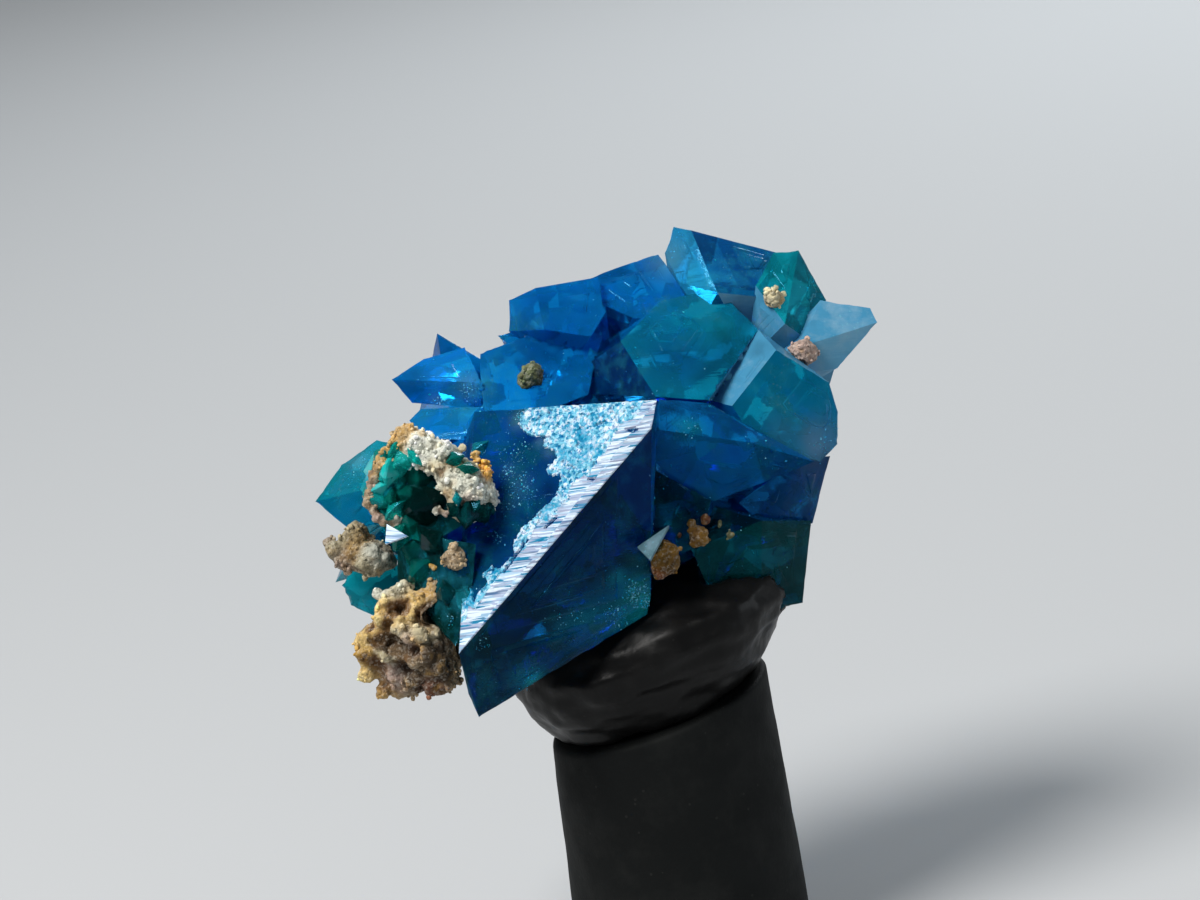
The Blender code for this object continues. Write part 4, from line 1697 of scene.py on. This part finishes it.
@dataclass
class InnerFlecks:
    """Tiny flakes sealed in the crystals just under their faces, which glint as light passes them."""

    node: Object
    effects: Effects
    count: int = 9000
    least: float = 0.006
    most: float = 0.034
    width: float = 0.6
    thickness: float = 0.15
    shades: tuple[Shade, ...] = (GLACIER, MIST, SKY, SEA)
    least_depth: float = 0.03
    depth: float = 0.40
    back_gap: float = 0.05
    outer: float = 0.5
    outer_scale: float = 0.7
    outer_lift: float = 0.1
    bare: float = 0.16
    patch_scale: float = 1.6
    clusters: tuple[Cluster, ...] = each(
        Cluster,
        (-1.36, -0.62, 0.26, 210), (-1.56, -0.38, 0.12, 80), (-1.40, -0.05, 0.30, 80),
        (-1.60, -0.90, 0.20, 70), (-1.35, 0.55, 0.12, 70), (-1.75, -1.50, 0.12, 40),
        (-2.40, -1.85, 0.12, 20), (-2.55, -2.90, 0.08, 24), (0.64, -2.45, 0.20, 260),
        (0.25, -2.85, 0.22, 140), (0.78, -2.62, 0.10, 90), (0.15, -2.25, 0.20, 60),
        (-0.60, -2.90, 0.35, 70), (-1.25, -3.80, 0.28, 80), (-2.00, -3.30, 0.16, 30),
        (1.20, 1.90, 0.45, 70), (-2.25, 1.05, 0.16, 60), (-2.77, 0.82, 0.10, 30), (-4.00, -0.17, 0.14, 40),
        (-4.22, -0.41, 0.12, 30), (1.55, 0.40, 0.15, 40), (3.75, 0.09, 0.16, 50), (1.90, 0.81, 0.07, 24),
    )
    cluster_spread: float = 0.6
    cluster_scale: float = 0.8
    crisp_angle: float = 5.0
    stock: MeshStock = field(default_factory=MeshStock)
    rng: np.random.Generator = field(default_factory=lambda: np.random.default_rng(23))

    def build(self) -> Object:
        """Makes the flecks.

        Returns:
            The new piece.
        """
        self.scatter()
        surface = Surface(self.node)
        for cluster in self.clusters:
            middle, reach = (cluster.right, cluster.up), self.cluster_spread * cluster.reach
            for spot in self.rng.normal(middle, reach, (cluster.count, 2)).tolist():
                size = self.least + (self.most - self.least) * self.rng.uniform() ** 2
                self.add_fleck(np.array(surface.under(*spot)[0]), self.cluster_scale * size)
        finish = CrystalFinish("fleck", 0.0, 0.35, 0.3, (0.70, 0.90, 1.00), 0.001)
        mesh = self.stock.mesh("inner_flecks", [finish.material(self.effects)], self.crisp_angle)
        return place_piece("inner_flecks", mesh, "liroconite")

    def scatter(self) -> None:
        """Scatters flecks under all the faces, in patches."""
        rng, bm = self.rng, flat_crystals(self.node)
        bmesh.ops.triangulate(bm, faces=bm.faces)
        areas = np.array([face.calc_area() for face in bm.faces])
        bm.faces.ensure_lookup_table()
        tree = BVHTree.FromBMesh(bm)
        for pick in rng.choice(len(areas), self.count, p=areas / areas.sum()):
            corners = [v.co for v in bm.faces[pick].verts]
            share = rng.dirichlet((1.0, 1.0, 1.0))
            inward = -bm.faces[pick].normal
            start = sum((corner * part for corner, part in zip(corners, share)), Vector())
            size = self.least + (self.most - self.least) * rng.uniform() ** 2.5
            sunk = self.least_depth + self.depth * rng.uniform() ** 2
            if rng.uniform() < self.outer:
                size *= self.outer_scale
                sunk = -self.outer_lift * size
            far = tree.ray_cast(start + 0.001 * inward, inward)[3]
            bare = noise.noise(start * self.patch_scale) < self.bare
            if not bare and far is not None and far >= sunk + self.back_gap:
                self.add_fleck(np.array(start + sunk * inward), size)
        bm.free()

    def add_fleck(self, middle: Array, size: float) -> None:
        """Adds one fleck, a flat four-cornered flake.

        Args:
            middle: its middle.
            size: its half length.
        """
        along, other = self.rng.normal(size=3), self.rng.normal(size=3)
        along /= np.linalg.norm(along)
        across = np.cross(along, other)
        across /= np.linalg.norm(across)
        thin = self.thickness * size * np.cross(along, across)
        length, width = size * along, self.width * size * across
        points = middle + np.array([length, width, -length, -width, thin, -thin])
        triangles = [(k, (k + 1) % 4, 4) for k in range(4)] + [((k + 1) % 4, k, 5) for k in range(4)]
        shade = self.shades[self.rng.integers(len(self.shades))]
        self.stock.add_solid(points, np.array(triangles), shade.value)


class Tone(Enum):
    """The colours of the gossan."""

    CHALK = (0.580, 0.595, 0.510)
    CREAM = (0.50, 0.44, 0.28)
    STRAW = (0.77, 0.55, 0.21)
    TAN = (0.44, 0.26, 0.07)
    BEIGE = (0.30, 0.22, 0.13)
    OCHRE = (0.380, 0.210, 0.025)
    LIMONITE = (0.640, 0.270, 0.005)
    HONEY = (0.170, 0.085, 0.008)
    PINK = (0.36, 0.26, 0.22)
    RUST = (0.110, 0.030, 0.012)
    UMBER = (0.050, 0.030, 0.016)
    MOSS = (0.11, 0.13, 0.06)


CHALK, CREAM, STRAW, TAN, BEIGE, OCHRE, LIMONITE, HONEY, PINK, RUST, UMBER, MOSS = Tone


@dataclass(frozen=True)
class Lobe:
    """A knob of gossan at right and up in the picture, or a hollow where its rise is less than nothing."""

    right: float
    up: float
    size: float
    tone: Tone
    rise: float = 0.0


@dataclass(frozen=True)
class GossanShape:
    """How a piece of gossan looks: its usual tone, its lobes and the roughness of its surface."""

    tone: Tone
    lobes: tuple[Lobe, ...] = ()
    cell: float = 0.025
    lumps: float = 0.050
    granules: float = 0.030
    fine: float = 0.008
    grains: int = 200
    # The piece's colours are scaled by this; the bud's low value is painted shade.
    shade: float = 1.0
    grain_size: Pair = (0.018, 0.055)


CRUST = GossanShape(
    CHALK,
    grains=420,
    lobes=each(
        Lobe,
        (-3.24, 0.40, 0.10, TAN, 0.02), (-3.33, 0.28, 0.13, TAN, 0.03), (-3.50, 0.10, 0.12, TAN, 0.02),
        (-3.64, -0.02, 0.10, TAN, 0.02), (-3.74, -0.18, 0.12, TAN, 0.02), (-3.80, -0.32, 0.11, BEIGE, 0.03),
        (-3.86, -0.46, 0.13, BEIGE, 0.02), (-3.89, -0.60, 0.11, PINK, 0.03),
        (-3.93, -0.74, 0.10, BEIGE, 0.03), (-3.93, -0.88, 0.13, BEIGE, 0.02),
        (-3.86, -1.02, 0.11, BEIGE, 0.04), (-3.78, -1.14, 0.12, PINK, 0.04),
        (-3.68, -1.24, 0.10, BEIGE, 0.05), (-3.10, 0.12, 0.15, CHALK, 0.03),
        (-2.90, 0.10, 0.14, CHALK, 0.04), (-2.70, -0.02, 0.13, CHALK, 0.03),
        (-2.72, -0.30, 0.13, CREAM, 0.02), (-2.62, -0.50, 0.14, CHALK, 0.03),
        (-2.60, -0.72, 0.13, CREAM, 0.02), (-2.78, -1.02, 0.11, CHALK, 0.05),
        (-2.63, -1.08, 0.09, PINK, 0.02), (-2.40, -0.60, 0.13, CHALK, 0.04),
        (-2.20, -0.55, 0.14, CHALK, 0.05), (-2.05, -0.75, 0.13, CHALK, 0.05),
        (-1.85, -0.70, 0.10, CHALK, 0.02), (-1.82, -0.90, 0.08, CHALK, 0.02),
        (-2.22, -0.78, 0.07, PINK, 0.05), (-2.48, -0.58, 0.06, TAN, 0.05),
        (-1.98, -0.28, 0.10, LIMONITE, 0.03), (-1.93, -0.42, 0.09, LIMONITE, 0.04),
        (-2.10, -0.12, 0.07, OCHRE, 0.02), (-2.36, 0.02, 0.08, CREAM, 0.02),
        (-2.47, -0.16, 0.10, MOSS, -0.06), (-2.25, -0.32, 0.12, MOSS, -0.07),
        (-2.30, -0.92, 0.10, UMBER, -0.05),
    ),
)

# The lump's lobes carry its own gossan colours, and their layout also paints light and shade: pale chalk and
# cream along the top, straw at the left, umber at the lower right.
LUMP = GossanShape(
    BEIGE,
    lumps=0.065,
    granules=0.020,
    grains=180,
    shade=0.90,
    lobes=each(
        Lobe,
        (-3.75, -2.47, 0.11, CHALK, 0.03), (-3.64, -2.44, 0.12, CHALK, 0.02),
        (-3.52, -2.41, 0.12, CREAM, 0.03), (-3.41, -2.37, 0.11, CHALK, 0.03),
        (-3.30, -2.33, 0.11, CREAM, 0.04), (-3.18, -2.31, 0.10, CREAM, 0.04),
        (-3.06, -2.28, 0.10, CHALK, 0.05), (-2.94, -2.15, 0.10, CHALK, 0.04),
        (-2.80, -2.00, 0.08, OCHRE, 0.04), (-3.38, -2.66, 0.11, RUST, -0.30),
        (-3.52, -2.72, 0.10, RUST, -0.16), (-3.64, -2.60, 0.11, STRAW, 0.03),
        (-3.20, -2.50, 0.14, STRAW, 0.04), (-3.05, -2.45, 0.13, TAN, 0.03),
        (-3.16, -2.80, 0.13, STRAW, 0.06), (-3.40, -2.86, 0.11, STRAW, 0.04),
        (-2.95, -2.78, 0.13, UMBER, -0.34), (-2.75, -2.95, 0.10, MOSS, 0.06),
        (-3.72, -2.90, 0.16, STRAW, 0.04), (-3.92, -3.02, 0.08, RUST, -0.10),
        (-3.62, -2.98, 0.08, RUST, -0.10), (-4.02, -3.20, 0.16, STRAW, 0.03),
        (-4.06, -3.50, 0.16, OCHRE, 0.02), (-3.95, -3.80, 0.17, STRAW, 0.02),
        (-3.42, -3.08, 0.15, CREAM, 0.08), (-3.28, -3.22, 0.12, PINK, 0.07),
        (-3.05, -3.12, 0.14, CREAM, 0.12), (-2.86, -3.08, 0.12, CREAM, 0.10),
        (-3.80, -3.24, 0.11, UMBER, -0.16), (-3.60, -3.26, 0.13, UMBER, -0.24),
        (-3.40, -3.38, 0.12, UMBER, -0.20), (-3.15, -3.40, 0.10, RUST, -0.16),
        (-3.80, -3.66, 0.12, RUST, -0.12), (-3.32, -3.72, 0.12, UMBER, -0.14),
        (-3.62, -3.48, 0.13, CREAM, 0.08), (-3.42, -3.52, 0.11, CREAM, 0.06),
        (-3.20, -3.60, 0.15, BEIGE, 0.05), (-2.95, -3.45, 0.15, UMBER, 0.03),
        (-2.76, -3.32, 0.12, UMBER, 0.02), (-3.55, -3.85, 0.18, PINK, 0.03),
        (-3.15, -3.90, 0.18, UMBER, 0.03), (-2.75, -3.75, 0.15, UMBER, 0.02),
        (-2.90, -4.05, 0.14, RUST, 0.02), (-3.70, -4.10, 0.15, TAN, 0.02),
    ),
)

BUD = GossanShape(
    CREAM,
    granules=0.026,
    grains=60,
    # Painted shade: the whole bud is darkened.
    shade=0.58,
    lobes=each(
        Lobe,
        (-4.20, -1.35, 0.16, CREAM, 0.02), (-4.10, -1.45, 0.15, TAN, 0.02),
        (-4.55, -1.70, 0.15, CREAM, 0.05), (-4.60, -1.58, 0.10, PINK, 0.05),
        (-4.40, -1.88, 0.14, PINK, 0.03), (-4.25, -1.78, 0.12, TAN, 0.02),
        (-3.85, -1.75, 0.15, CHALK, 0.03), (-3.65, -1.80, 0.12, CHALK, 0.02),
        (-4.05, -1.95, 0.12, CREAM, 0.01),
    ),
)


def single_grain(tone: Tone, grains: int, lobes: tuple[Lobe, ...] = ()) -> GossanShape:
    """The shape of a small single grain of gossan, with its tone, its loose grains and its lobes."""
    return GossanShape(tone, lobes, cell=0.016, lumps=0.045, granules=0.020, fine=0.006, grains=grains)


GRAINS = (
    single_grain(BEIGE, 30),
    single_grain(MOSS, 30),
    single_grain(CREAM, 26),
    single_grain(PINK, 26),
    single_grain(HONEY, 16, each(
        Lobe,
        (1.02, -2.13, 0.09, RUST, 0.01), (1.10, -1.92, 0.13, HONEY, 0.01), (1.22, -1.70, 0.12, HONEY, 0.01),
        (1.36, -1.46, 0.08, RUST, 0.01), (1.24, -2.00, 0.08, UMBER, 0.01),
    )),
    single_grain(HONEY, 12, each(
        Lobe,
        (1.55, -1.25, 0.10, HONEY, 0.01), (1.80, -1.18, 0.09, RUST, 0.01), (2.05, -1.24, 0.08, MOSS, 0.01),
        (2.22, -1.46, 0.08, MOSS, 0.01),
    )),
)


@dataclass(frozen=True)
class EarthFinish:
    """Gossan: matt, grainy and porous, with painted shade in its pores."""

    name: str
    pale: Colour = (0.80, 0.76, 0.66)
    # The colour of the painted shade in the pores.
    dark: Colour = (0.045, 0.026, 0.012)
    scale: float = 26000.0
    amount: float = 0.50
    depth: float = 0.012
    roughness: float = 0.92

    def material(self, effects: Effects) -> Material:
        """Builds the material.

        Args:
            effects: the shared node groups.

        Returns:
            The material.
        """
        graph = Graph.for_material(self.name)
        colours = {"Colour": graph.tint(), "Pale": self.pale, "Dark": self.dark}
        earth = graph.use(effects.earth, {**colours, "Scale": self.scale, "Amount": self.amount})
        normal = graph.bump(self.depth, earth["Height"])
        return graph.dressed({"Base Color": earth["Colour"], "Roughness": self.roughness, "Normal": normal})


def remeshed(bm: BMesh, cell: float) -> Mesh:
    """Joins overlapping solids into one evenly meshed skin.

    Args:
        bm: the solids, in millimetres. It is freed.
        cell: the skin's mesh size.

    Returns:
        The skin, in millimetres.
    """
    rough = object_from_bmesh("rough", bm)
    join = rough.modifiers.new("join", "REMESH")
    join.mode = "VOXEL"
    join.voxel_size = cell
    evaluated = rough.evaluated_get(bpy.context.evaluated_depsgraph_get())
    skin = bpy.data.meshes.new_from_object(evaluated)
    old = rough.data
    bpy.data.objects.remove(rough)
    bpy.data.meshes.remove(old)
    return skin


def mesh_arrays(mesh: Mesh) -> Arrays:
    """A mesh's points, outward directions and triangles.

    Args:
        mesh: the mesh. It is removed.

    Returns:
        The three arrays.
    """
    points = np.empty(len(mesh.vertices) * 3, np.float32)
    normals = np.empty(len(mesh.vertices) * 3, np.float32)
    mesh.vertices.foreach_get("co", points)
    mesh.vertex_normals.foreach_get("vector", normals)
    mesh.calc_loop_triangles()
    triangles = np.empty(len(mesh.loop_triangles) * 3, np.int32)
    mesh.loop_triangles.foreach_get("vertices", triangles)
    bpy.data.meshes.remove(mesh)
    return points.reshape(-1, 3).astype(float), normals.reshape(-1, 3).astype(float), triangles.reshape(-1, 3)


@dataclass
class Gossan:
    """A piece of gossan: its CAD solid with lobes and hollows, roughened, and sprinkled with loose grains."""

    name: str
    node: Object
    slot: str
    shape: GossanShape
    effects: Effects
    ground: Object | None = None
    lump_size: float = 0.35
    granule_size: float = 0.11
    granule_gap: float = 0.35
    fine_size: float = 0.045
    base_weight: float = 0.05
    falloff: float = 0.8
    stain_size: float = 0.22
    stain_start: float = 0.20
    # rust, sunk_depth and sunk_shade paint shade, mixed with rust, into the hollows; proud_height sets where
    # painted light lifts the raised parts.
    rust: Colour = (0.9, 0.6, 0.4)
    sunk_depth: float = 0.05
    sunk_shade: float = 0.35
    proud_height: float = 0.08
    crisp_angle: float = 60.0
    seats: list[tuple[Vector, Vector, Lobe]] = field(init=False)
    points: Array = field(init=False)
    normals: Array = field(init=False)
    depth: Array = field(init=False)

    def build(self) -> Object:
        """Makes the piece.

        Returns:
            The new piece.
        """
        surface = Surface(self.node, *([self.ground] if self.ground else []))
        self.seats = [(*surface.under(lobe.right, lobe.up), lobe) for lobe in self.shape.lobes]
        triangles = self.make_skin()
        self.roughen()
        tints = self.colours()
        stock = MeshStock()
        stock.add_skin(self.points, triangles, tints)
        self.sprinkle(stock, tints)
        name = "earthy_" + self.slot
        material = bpy.data.materials.get(name) or EarthFinish(name).material(self.effects)
        mesh = stock.mesh(self.name, [material], self.crisp_angle)
        return place_piece(self.name, mesh, self.slot, self.node.name)

    def make_skin(self) -> Array:
        """Joins the CAD solid with its lobes into one skin, and keeps its points and outward directions.

        Returns:
            The skin's triangles.
        """
        bm = in_millimetres(self.node)
        for place, normal, lobe in self.seats:
            if lobe.rise > 0.0:
                seat = Matrix.Translation(place + (lobe.rise - 0.5 * lobe.size) * normal)
                bmesh.ops.create_icosphere(bm, subdivisions=2, radius=lobe.size, matrix=seat)
        self.points, self.normals, triangles = mesh_arrays(remeshed(bm, self.shape.cell))
        return triangles

    def from_seat(self, place: Vector, lobe: Lobe) -> Array:
        """How far each point is from a lobe's place, in sizes of the lobe."""
        return np.linalg.norm(self.points - np.array(place), axis=1) / lobe.size

    def roughen(self) -> None:
        """Roughens the skin, and keeps how far each point stands out from its middle height."""
        shape, points = self.shape, self.points
        lumps = noise_at(points, self.lump_size, 3, 2.0)
        cells = np.array([noise.voronoi(Vector(p) / self.granule_size)[0] for p in points])
        granules = (cells[:, 1] - cells[:, 0]) - self.granule_gap
        fine = noise_at(points, self.fine_size, 2, 6.0)
        moved = shape.lumps * lumps + shape.granules * granules + shape.fine * fine
        for place, _, lobe in self.seats:
            if lobe.rise < 0.0:
                moved += lobe.rise * np.exp(-(self.from_seat(place, lobe) ** 2))
        self.points = points + moved[:, None] * self.normals
        self.depth = moved - np.median(moved)

    def colours(self) -> Array:
        """The colours of the skin: the lobes' tones, with painted shade mixed with rust where it is sunk and
        painted light where it stands proud.

        Returns:
            A colour for each point.
        """
        weights = np.full(len(self.points), self.base_weight)
        found = weights[:, None] * np.array(self.shape.tone.value)
        for place, _, lobe in self.seats:
            share = np.exp(-self.falloff * self.from_seat(place, lobe) ** 2)
            weights += share
            found += share[:, None] * np.array(lobe.tone.value)
        found /= weights[:, None]
        stain = np.clip(noise_at(self.points, self.stain_size, 2, 9.0) - self.stain_start, 0.0, 0.5)[:, None]
        found = (1.0 - stain) * found + stain * np.array(TAN.value)
        # The shape's shade scale; for the bud this is painted shade.
        found *= self.shape.shade
        # Painted shade, tinted with rust, where the skin is sunk.
        sunk = np.clip(-self.depth / self.sunk_depth, 0.0, 0.9)[:, None]
        found = (1.0 - sunk) * found + sunk * self.sunk_shade * found * np.array(self.rust)
        # Painted light where the skin stands proud.
        proud_highlight = np.clip(self.depth / self.proud_height, 0.0, 0.5)[:, None]
        return (1.0 - proud_highlight) * found + proud_highlight * np.clip(1.5 * found, 0.0, 0.8)

    def sprinkle(self, stock: MeshStock, tints: Array) -> None:
        """Sprinkles loose grains over the parts of the skin that stand proud.

        Args:
            stock: where they go.
            tints: the skin's colours.
        """
        rng = np.random.default_rng(len(self.points))
        ball = bmesh.new()
        bmesh.ops.create_icosphere(ball, subdivisions=2, radius=1.0)
        sphere, triangles = solid_arrays(ball)
        low, high = self.shape.grain_size
        for pick in rng.choice(np.flatnonzero(self.depth > 0.0), self.shape.grains):
            size = low + (high - low) * rng.uniform() ** 2
            stretch = rng.uniform(0.7, 1.2, 3)
            bumps = 1.0 + 0.35 * noise_at(sphere + rng.uniform(-50.0, 50.0, 3), 0.9, 2)
            middle = self.points[pick] + 0.4 * size * self.normals[pick]
            tint = np.clip(tints[pick] * rng.uniform(0.8, 1.7), 0.0, 0.85)
            stock.add_solid(middle + sphere * stretch * bumps[:, None] * size, triangles, tuple(tint))


@dataclass(frozen=True)
class DarkFinish:
    """A dark smooth stuff with a patchy gloss and a little dust."""

    name: str
    colour: Colour
    dust_colour: Colour
    dust: float
    dust_scale: float
    roughness: Pair
    depth: float
    grain: float
    gloss: float
    patches: float = 700.0
    dust_roughness: float = 3.0

    def material(self, effects: Effects) -> Material:
        """Builds the material.

        Args:
            effects: the shared node groups.

        Returns:
            The material.
        """
        graph = Graph.for_material(self.name)
        colours = {"Colour": self.colour, "Dust": self.dust_colour}
        film = graph.use(effects.dust, {**colours, "Amount": self.dust, "Scale": self.dust_scale})
        patches = graph.noise(self.patches, detail=4.0, roughness=0.6)
        low, high = self.roughness
        gloss = graph.add("MapRange", {0: patches, 1: 0.3, 2: 0.7, 3: low, 4: high}).outputs[0]
        dusty = graph.times(film["Mask"], self.dust_roughness)
        return graph.dressed(
            {
                "Base Color": film["Colour"],
                "Roughness": graph.math("MAXIMUM", gloss, dusty, clamp=True),
                "Specular IOR Level": self.gloss,
                "Normal": graph.bump(self.depth, graph.noise(self.grain, detail=3.0, roughness=0.6)),
            }
        )


BLACK_WAX = DarkFinish(
    "black_wax",
    colour=(0.004, 0.004, 0.004),
    dust_colour=(0.10, 0.10, 0.10),
    dust=0.06,
    dust_scale=1200.0,
    roughness=(0.28, 0.50),
    depth=0.004,
    grain=9000.0,
    gloss=0.15,
)
DARK_POST = DarkFinish(
    "dark_post",
    colour=(0.007, 0.008, 0.008),
    dust_colour=(0.12, 0.12, 0.11),
    dust=0.08,
    dust_scale=900.0,
    roughness=(0.55, 0.80),
    depth=0.006,
    grain=14000.0,
    gloss=0.09,
)


@dataclass
class Wax:
    """The black wax that holds the crystals: kneaded, with soft folds and dents."""

    node: Object
    effects: Effects
    cell: float = 0.07
    upright: Triple = (1.0, 1.0, 2.2)
    swell: float = 0.035
    folds: float = 0.075
    fold_size: float = 1.1
    creases: float = 0.035
    crease_size: float = 0.7
    fine: float = 0.006
    fine_size: float = 0.18
    crisp_angle: float = 80.0

    def build(self) -> Object:
        """Makes the wax.

        Returns:
            The new piece.
        """
        points, normals, triangles = mesh_arrays(remeshed(in_millimetres(self.node), self.cell))
        stretched = points * self.upright
        folds = noise_at(stretched, self.fold_size, 2, 1.0)
        creases = -np.abs(noise_at(stretched, self.crease_size, 1, 5.0))
        fine = noise_at(points, self.fine_size, 2, 7.0)
        moved = self.swell + self.folds * folds + self.creases * creases + self.fine * fine
        stock = MeshStock()
        stock.add_skin(points + moved[:, None] * normals, triangles)
        mesh = stock.mesh("wax", [BLACK_WAX.material(self.effects)], self.crisp_angle)
        return place_piece("wax", mesh, "black_wax", self.node.name)


@dataclass
class Post:
    """The dark post: a slightly tapered round rod with a slanted top and rounded rims."""

    node: Object
    effects: Effects
    foot_radius: float = 2.08
    top_radius: float = 1.93
    height: float = 4.75
    slant: float = 12.0
    rim: float = 0.10
    sides: int = 192
    rows: int = 44
    rim_rows: int = 6
    inner_share: float = 0.6
    wall_share: float = 0.9
    unevenness: float = 0.008
    wave: float = 1.4
    crisp_angle: float = 40.0

    def build(self) -> Object:
        """Makes the post.

        Returns:
            The new piece.
        """
        profile = self.profile()
        angles = np.linspace(0.0, 2.0 * np.pi, self.sides, endpoint=False)
        rings = []
        for radius, share, drop in profile:
            x, y = radius * np.cos(angles), radius * np.sin(angles)
            top = self.height + np.tan(np.radians(self.slant)) * x
            rings.append(np.stack([x, y, share * top - drop], 1))
        points = np.concatenate([*rings, [(0.0, 0.0, 0.0), (0.0, 0.0, self.height)]])
        wall = (np.hypot(points[:, 0], points[:, 1]) > self.wall_share * self.top_radius)[:, None]
        waves = self.unevenness * noise_at(points, self.wave, 3)[:, None]
        points[:, :2] *= 1.0 + np.where(wall, waves, 0.0)
        stock = MeshStock()
        stock.add_skin(points, self.triangles(len(profile)))
        mesh = stock.mesh("post_rod", [DARK_POST.material(self.effects)], self.crisp_angle)
        return place_piece("post_rod", mesh, "dark_post", self.node.name)

    def profile(self) -> list[Triple]:
        """The post's outline from the middle of its foot to the middle of its top.

        Returns:
            For each ring its radius, its share of the height and how far it lies below that.
        """
        rim, foot, top = self.rim, self.foot_radius - self.rim, self.top_radius - self.rim
        turns = [(math.sin(bend), math.cos(bend)) for bend in np.linspace(0.0, 0.5 * np.pi, self.rim_rows)]
        found = [(self.inner_share * self.foot_radius, 0.0, 0.0)]
        found += [(foot + rim * sine, 0.0, -rim * (1.0 - cosine)) for sine, cosine in turns]
        for k in range(1, self.rows):
            share = k / self.rows
            radius = self.foot_radius + (self.top_radius - self.foot_radius) * share
            found.append((radius, share, (2.0 * share - 1.0) * rim))
        found += [(top + rim * cosine, 1.0, rim * (1.0 - sine)) for sine, cosine in turns]
        found.append((self.inner_share * self.top_radius, 1.0, 0.0))
        return found

    def triangles(self, rings: int) -> Array:
        """The post's triangles, ring by ring.

        Args:
            rings: how many rings there are.

        Returns:
            Rows of three point numbers.
        """
        side = np.arange(self.sides)
        after = (side + 1) % self.sides
        foot, crown = rings * self.sides, rings * self.sides + 1
        found = [np.stack([np.full(self.sides, foot), after, side], 1)]
        for ring in range(rings - 1):
            low, high = ring * self.sides, (ring + 1) * self.sides
            found.append(np.stack([low + side, low + after, high + after], 1))
            found.append(np.stack([low + side, high + after, high + side], 1))
        last = (rings - 1) * self.sides
        found.append(np.stack([last + side, last + after, np.full(self.sides, crown)], 1))
        return np.concatenate(found)


def main() -> None:
    """Builds the specimen and the studio, and reports each piece."""
    logging.basicConfig(level=logging.INFO, format="%(name)s: %(message)s")
    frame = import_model()
    nodes = frame["nodes"]
    VIEW.add_camera()
    Studio().build()
    effects = Effects()
    materials = crystal_materials(effects)
    crystals, crust, wax = nodes["liroconite_crystals"], nodes["gossan_crust"], nodes["mounting_wax"]
    makers = [
        CrystalSkin(crystals, materials),
        SmallCrystals(crystals, Surface(crystals, crust), Surface(wax), materials),
        InnerFlecks(crystals, effects),
        Gossan("crust", crust, "cream_crust", CRUST, effects),
        Gossan("lump", nodes["gossan_lump"], "brown_gossan", LUMP, effects),
        Gossan("bud", nodes["gossan_bud"], "beige_gossan", BUD, effects),
    ]
    for number, shape in enumerate(GRAINS, 1):
        node = nodes[f"gossan_grain_{number}"]
        makers.append(Gossan(f"grain_{number}", node, "tan_grain", shape, effects, crystals))
    makers += [Wax(wax, effects), Post(nodes["post"], effects)]
    for maker in makers:
        piece = maker.build()
        LOG.info("%s: %d triangles", piece.name, len(piece.data.polygons))


if __name__ == "__main__":
    main()
